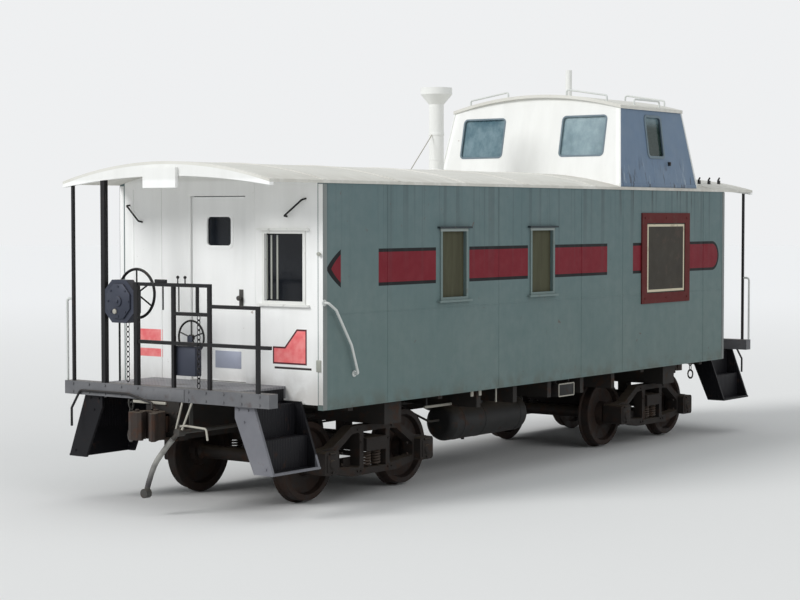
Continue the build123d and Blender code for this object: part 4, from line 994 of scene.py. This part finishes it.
# Sides: a lip along the lower edge, and the handrails' feet
lip = {"y": 1.4225, "proud": 0.005, "low": 1.051, "high": 1.066, "half": 4.32}
bm = bmesh.new()
for side in (-1, 1):
    addBlock(bm, (-lip["half"], side * lip["y"], lip["low"]),
             (lip["half"], side * (lip["y"] + lip["proud"]), lip["high"]), bevel=0.0015)
finishPiece("skirtLips", bm, bodyPaint)
rails = {
    "places": ((4.368, 1.4225, 2.14), (3.88, 1.4225, 1.395)), "foot": (0, 0.008, 0.034, 16, 0.002),
    "boltPlaces": ((0, 0.008, -0.023), (0, 0.008, 0.023)), "bolt": (0.006, 0.005)}
bm = bmesh.new()
for turn in (1, -1):
    out = Vector((0, turn, 0))
    for spot in turned(rails["places"], turn):
        addDisc(bm, Vector(spot), out, *rails["foot"])
        spots = [Vector(spot) + Vector(step) for step in turned(rails["boltPlaces"], turn)]
        addBolts(bm, spots, out, *rails["bolt"])
finishPiece("handrailFeet", bm, handrailPaint)
print("walls dressed")

# Steps: an edge strip on each tread, and bolts on the stringers
stepTrim = {
    "treads": ((1.0908, 1.113), (1.2567, 0.8), (1.4225, 0.487)), "x": (4.455, 5.128),
    "back": (-0.022, -0.001), "rise": (-0.002, 0.006), "stringers": ((4.4215, -1), (5.1615, 1)),
    "boltPlaces": ((0.975, 1.1), (1.1, 1.1), (1.05, 0.98), (1.33, 0.53)), "bolt": (0.012, 0.009)}
bm = bmesh.new()
for end, side in carCorners:
    for edge, z in stepTrim["treads"]:
        corners = [(end * x, side * (edge + back), z + rise)
                   for x, back, rise in zip(stepTrim["x"], stepTrim["back"], stepTrim["rise"])]
        addBlock(bm, *corners, bevel=0.0015)
    for x, way in stepTrim["stringers"]:
        spots = [(end * x, side * y, z) for y, z in stepTrim["boltPlaces"]]
        addBolts(bm, spots, (end * way, 0, 0), *stepTrim["bolt"])
finishPiece("stepTrim", bm, stepSteel)
print("steps trimmed")

# Roof: lugs at the A end, collars of the smoke jack and the vent, and the jack's stay
lugs = {
    "places": ((4.28, -1.09), (4.58, -1.085), (4.93, -1.056)), "half": (0.03, 0.012, 0.0275), "lift": 0.0225,
    "pinHalf": 0.02, "pinZ": (0.05, 0.085), "pinRadius": 0.012}
jack = {
    "place": (0.41, 0.6), "flare": (-0.03, 0.075, 0.15, 32, 0, 0.098),
    "bands": ((4.03, 4.07, 0.099, 32, 0.002), (3.72, 3.735, 0.097, 32, 0.001)),
    "vent": (2.622, 0.0), "ventCollar": (4.585, 4.62, 0.08, 24, 0, 0.046),
    "stay": ((-0.2, 0.6, 3.53), (0.325, 0.6, 4.05)), "stayRadius": 0.006}
bm = bmesh.new()
for x, y in lugs["places"]:
    z, half = roofHeight(y), Vector(lugs["half"])
    middle = Vector((x, y, z + lugs["lift"]))
    low, high = lugs["pinZ"]
    addBlock(bm, middle - half, middle + half, bevel=0.005)
    addRound(bm, (x - lugs["pinHalf"], y, z + low), (x + lugs["pinHalf"], y, z + high),
             lugs["pinRadius"], sides=8)
finishPiece("roofLugs", bm, railingPaint)
bm = bmesh.new()
x, y = jack["place"]
addDisc(bm, Vector((x, y, roofHeight(y))), up, *jack["flare"])
for band in jack["bands"]:
    addDisc(bm, Vector((x, y, 0)), up, *band)
addDisc(bm, Vector((*jack["vent"], 0)), up, *jack["ventCollar"])
finishPiece("roofCollars", bm, endPaint)
addRods("jackStay", [jack["stay"]], jack["stayRadius"], paleSteel)

# Cupola: beads down its corners, a strip along its foot and a hook
cupolaTrim = {
    "bead": ((1.016, 1.4, 3.42), (0.796, 1.265, 4.425)), "beadRadius": 0.011,
    "strip": ((-1.016, -0.012, 3.385), (1.016, 0.006, 3.43)),
    "hook": ((2.885, -1.392, 3.672), (2.925, -1.352, 3.722))}
bm = bmesh.new()
for end, side in carCorners:
    top, foot = [(cupola["x"] + end * x, side * y, z) for x, y, z in cupolaTrim["bead"]]
    addRound(bm, top, foot, cupolaTrim["beadRadius"], sides=10)
for side in (-1, 1):
    corners = [(cupola["x"] + x, side * (cupola["baseWidth"] / 2 + y), z) for x, y, z in cupolaTrim["strip"]]
    addBlock(bm, *corners, bevel=0.003)
finishPiece("cupolaEdges", bm, cupolaPaint)
bm = bmesh.new()
addBlock(bm, *cupolaTrim["hook"], bevel=0.005)
finishPiece("cupolaHook", bm, railingPaint)
print("roof dressed")

# Air and brake gear under the floor
airGear = {
    "tank": (-0.75, 0.63, 0.215), "straps": (-1.18, -0.75, 0.0), "strapHalf": 0.022, "strapThick": 0.003,
    "drain": (-0.95, 0.02, 0.022), "cylinder": (0.525, 0.76, 0.695), "cylinderRim": (10, 0.125, 0.125),
    "cylinderBolt": (0.012, 0.012), "valve": ((0.24, -0.32, 0.66), (0.44, -0.2, 0.86)),
    "valveBack": ((0.28, -0.22, 0.74), (0.4, -0.15, 0.84)),
    "valveFoot": ((0.34, -0.26, 0.6), (0.34, -0.26, 0.67), 0.045, 16, 0.006),
    "boltX": (0.265, 0.415), "boltZ": (0.69, 0.83), "valveBolt": (0.011, 0.009),
    "piping": (((0.16, -0.75, 0.63), (0.33, -0.75, 0.63), (0.33, -0.75, 0.8), (0.33, -0.31, 0.8)),
               ((0.38, -0.24, 0.68), (0.38, -0.24, 0.6), (0.38, 0.72, 0.6), (0.53, 0.76, 0.62)),
               ((-1.42, -0.75, 0.66), (-1.62, -0.75, 0.66), (-1.62, -0.36, 0.8), (-1.62, -0.33, 0.845))),
    "pipeRadius": 0.0135, "rodRadius": 0.011,
    "rods": (((1.3, 0.42, 0.672), (2.32, 0.25, 0.66)), ((1.3, 0.36, 0.655), (-2.32, 0.25, 0.655)),
             ((2.25, 0.25, 0.652), (2.25, 0.25, 1.01)), ((-2.25, 0.25, 0.647), (-2.25, 0.25, 1.01)),
             ((-0.75, 0.29, 0.643), (-0.75, 0.29, 0.86)))}
bm = bmesh.new()
y, z, radius = airGear["tank"]
half = airGear["strapHalf"]
for x in airGear["straps"]:
    addRound(bm, (x - half, y, z), (x + half, y, z), radius + airGear["strapThick"], sides=48)
x, half, drain = airGear["drain"]
addRound(bm, (x, y, z - radius - half), (x, y, z - radius + half), drain, sides=8)
spots = [Vector(airGear["cylinder"]) + step for step in spread(*airGear["cylinderRim"])]
addBolts(bm, spots, (-1, 0, 0), *airGear["cylinderBolt"])
addBlock(bm, *airGear["valve"], bevel=0.012)
addBlock(bm, *airGear["valveBack"], bevel=0.005)
addRound(bm, *airGear["valveFoot"])
spots = [(x, airGear["valve"][0][1], z) for x in airGear["boltX"] for z in airGear["boltZ"]]
addBolts(bm, spots, (0, -1, 0), *airGear["valveBolt"])
finishPiece("tankBands", bm, tankPaint)
addRods("airPiping", airGear["piping"], airGear["pipeRadius"], pipeSteel, bend=0.06)
addRods("brakeRods", airGear["rods"], airGear["rodRadius"], underframeSteel)

# A box under the side with its hangers, and pale fittings under the side sill
sideBox = {
    "box": ((0.21, -1.352, 0.835), (0.57, -1.235, 0.995)),
    "hangers": ((0.24, -1.29), (0.54, -1.29), (-2.02, -1.0)),
    "hanger": ((-0.016, -0.004, 0.87), (0.016, 0.004, 1.218)), "frameSunk": 0.002,
    "frame": (0.018, 0.014, 0.007), "bar": ((-2.06, -1.012, 0.86), (-1.52, -0.988, 0.89)),
    "cleats": (((-1.175, -1.372, 0.885), (-1.155, -1.358, 1.085)),
               ((-1.675, -1.374, 0.985), (-1.63, -1.358, 1.07)),
               ((-1.515, -1.374, 0.985), (-1.47, -1.358, 1.07)))}
bm = bmesh.new()
addBlock(bm, *sideBox["box"], bevel=0.006)
for spot in sideBox["hangers"]:
    addBlock(bm, *[Vector((*spot, 0)) + Vector(corner) for corner in sideBox["hanger"]], bevel=0.001)
finishPiece("sideBox", bm, tankPaint)
bm = bmesh.new()
low, high = [Vector(spot) for spot in sideBox["box"]]
front = ((low.x + high.x) / 2, low.y + sideBox["frameSunk"], (low.z + high.z) / 2)
addRing(bm, facing(front, (0, -1, 0)), high.x - low.x, high.z - low.z, *sideBox["frame"])
addBlock(bm, *sideBox["bar"], bevel=0.005)
for cleat in sideBox["cleats"]:
    addBlock(bm, *cleat, bevel=0.003)
finishPiece("paleFittings", bm, paleSteel)
print("underbody dressed")

# Trucks: lids of the journal boxes with boss, hinge and latch, and bolts on the side frames
lid = {
    "face": 1.1405, "along": 0.838, "z": 0.444, "size": (0.17, 0.185), "depth": 0.008,
    "bossDrop": 0.012, "boss": (0, 0.022, 0.058, 24, 0.002, 0.044), "hinge": (0.05, 0.006, 0.098, 0.013),
    "latch": (0.014, 0.02, 0.012), "frameFace": 1.0555, "bolt": (0.014, 0.012),
    "boltPlaces": ((0.24, 0.3), (0.24, 0.61), (0.3, 0.3), (0.3, 0.745), (0.58, 0.4), (0.58, 0.52))}
for body, truckX in trucks.items():
    bm = bmesh.new()
    for side in (-1, 1):
        out = Vector((0, side, 0))
        for along in (-1, 1):
            middle = Vector((truckX + along * lid["along"], side * lid["face"], lid["z"]))
            wide, tall = lid["size"]
            addBlock(bm, middle - Vector((wide / 2, 0, tall / 2)),
                     middle + Vector((wide / 2, side * lid["depth"], tall / 2)), bevel=0.004)
            addDisc(bm, middle - up * lid["bossDrop"], out, *lid["boss"])
            half, forward, rise, radius = lid["hinge"]
            pin = middle + out * forward + up * rise
            addRound(bm, pin - Vector((half, 0, 0)), pin + Vector((half, 0, 0)), radius, sides=12)
            half, forward, rise = lid["latch"]
            foot = middle - up * (tall / 2)
            addBlock(bm, foot - Vector((half, 0, half)), foot + Vector((half, side * forward, rise)),
                     bevel=0.003)
        spots = [(truckX + way * x, side * lid["frameFace"], z) for x, z in lid["boltPlaces"]
                 for way in (-1, 1)]
        addBolts(bm, spots, out, *lid["bolt"])
    finishPiece("truckFittings_" + body[-1], bm, truckIron, body)
print("trucks dressed")

# Couplers: pins on top, and bolts and a ledge on the striker
striker = {
    "pins": (((5.4575, -0.125, 1.04), (0, 0.022, 0.022, 16, 0.004)),
             ((5.32, 0.0, 1.04), (0, 0.016, 0.03, 16, 0.004))),
    "face": 5.2195, "boltY": (-0.2, -0.15, 0.15, 0.2), "boltZ": (0.78, 0.88, 1.02), "bolt": (0.012, 0.01),
    "ledge": ((5.2145, -0.215, 0.742), (5.262, 0.215, 0.768))}
bm = bmesh.new()
for turn in (1, -1):
    for spot, pin in striker["pins"]:
        addDisc(bm, Vector(turned([spot], turn)[0]), up, *pin)
    spots = [(striker["face"], y, z) for y in striker["boltY"] for z in striker["boltZ"]]
    addBolts(bm, turned(spots, turn), (turn, 0, 0), *striker["bolt"])
    addBlock(bm, *turned(striker["ledge"], turn), bevel=0.004)
finishPiece("couplerFittings", bm, couplerIron)

# Bolts through the sign boards
bm = bmesh.new()
for side in (-1, 1):
    spots = [(x, side * sign["face"], z) for x in sign["boltX"] for z in sign["boltZ"]]
    addBolts(bm, spots, (0, side, 0), *sign["bolt"])
finishPiece("signBolts", bm, signPaint)
print("couplers and signs dressed")
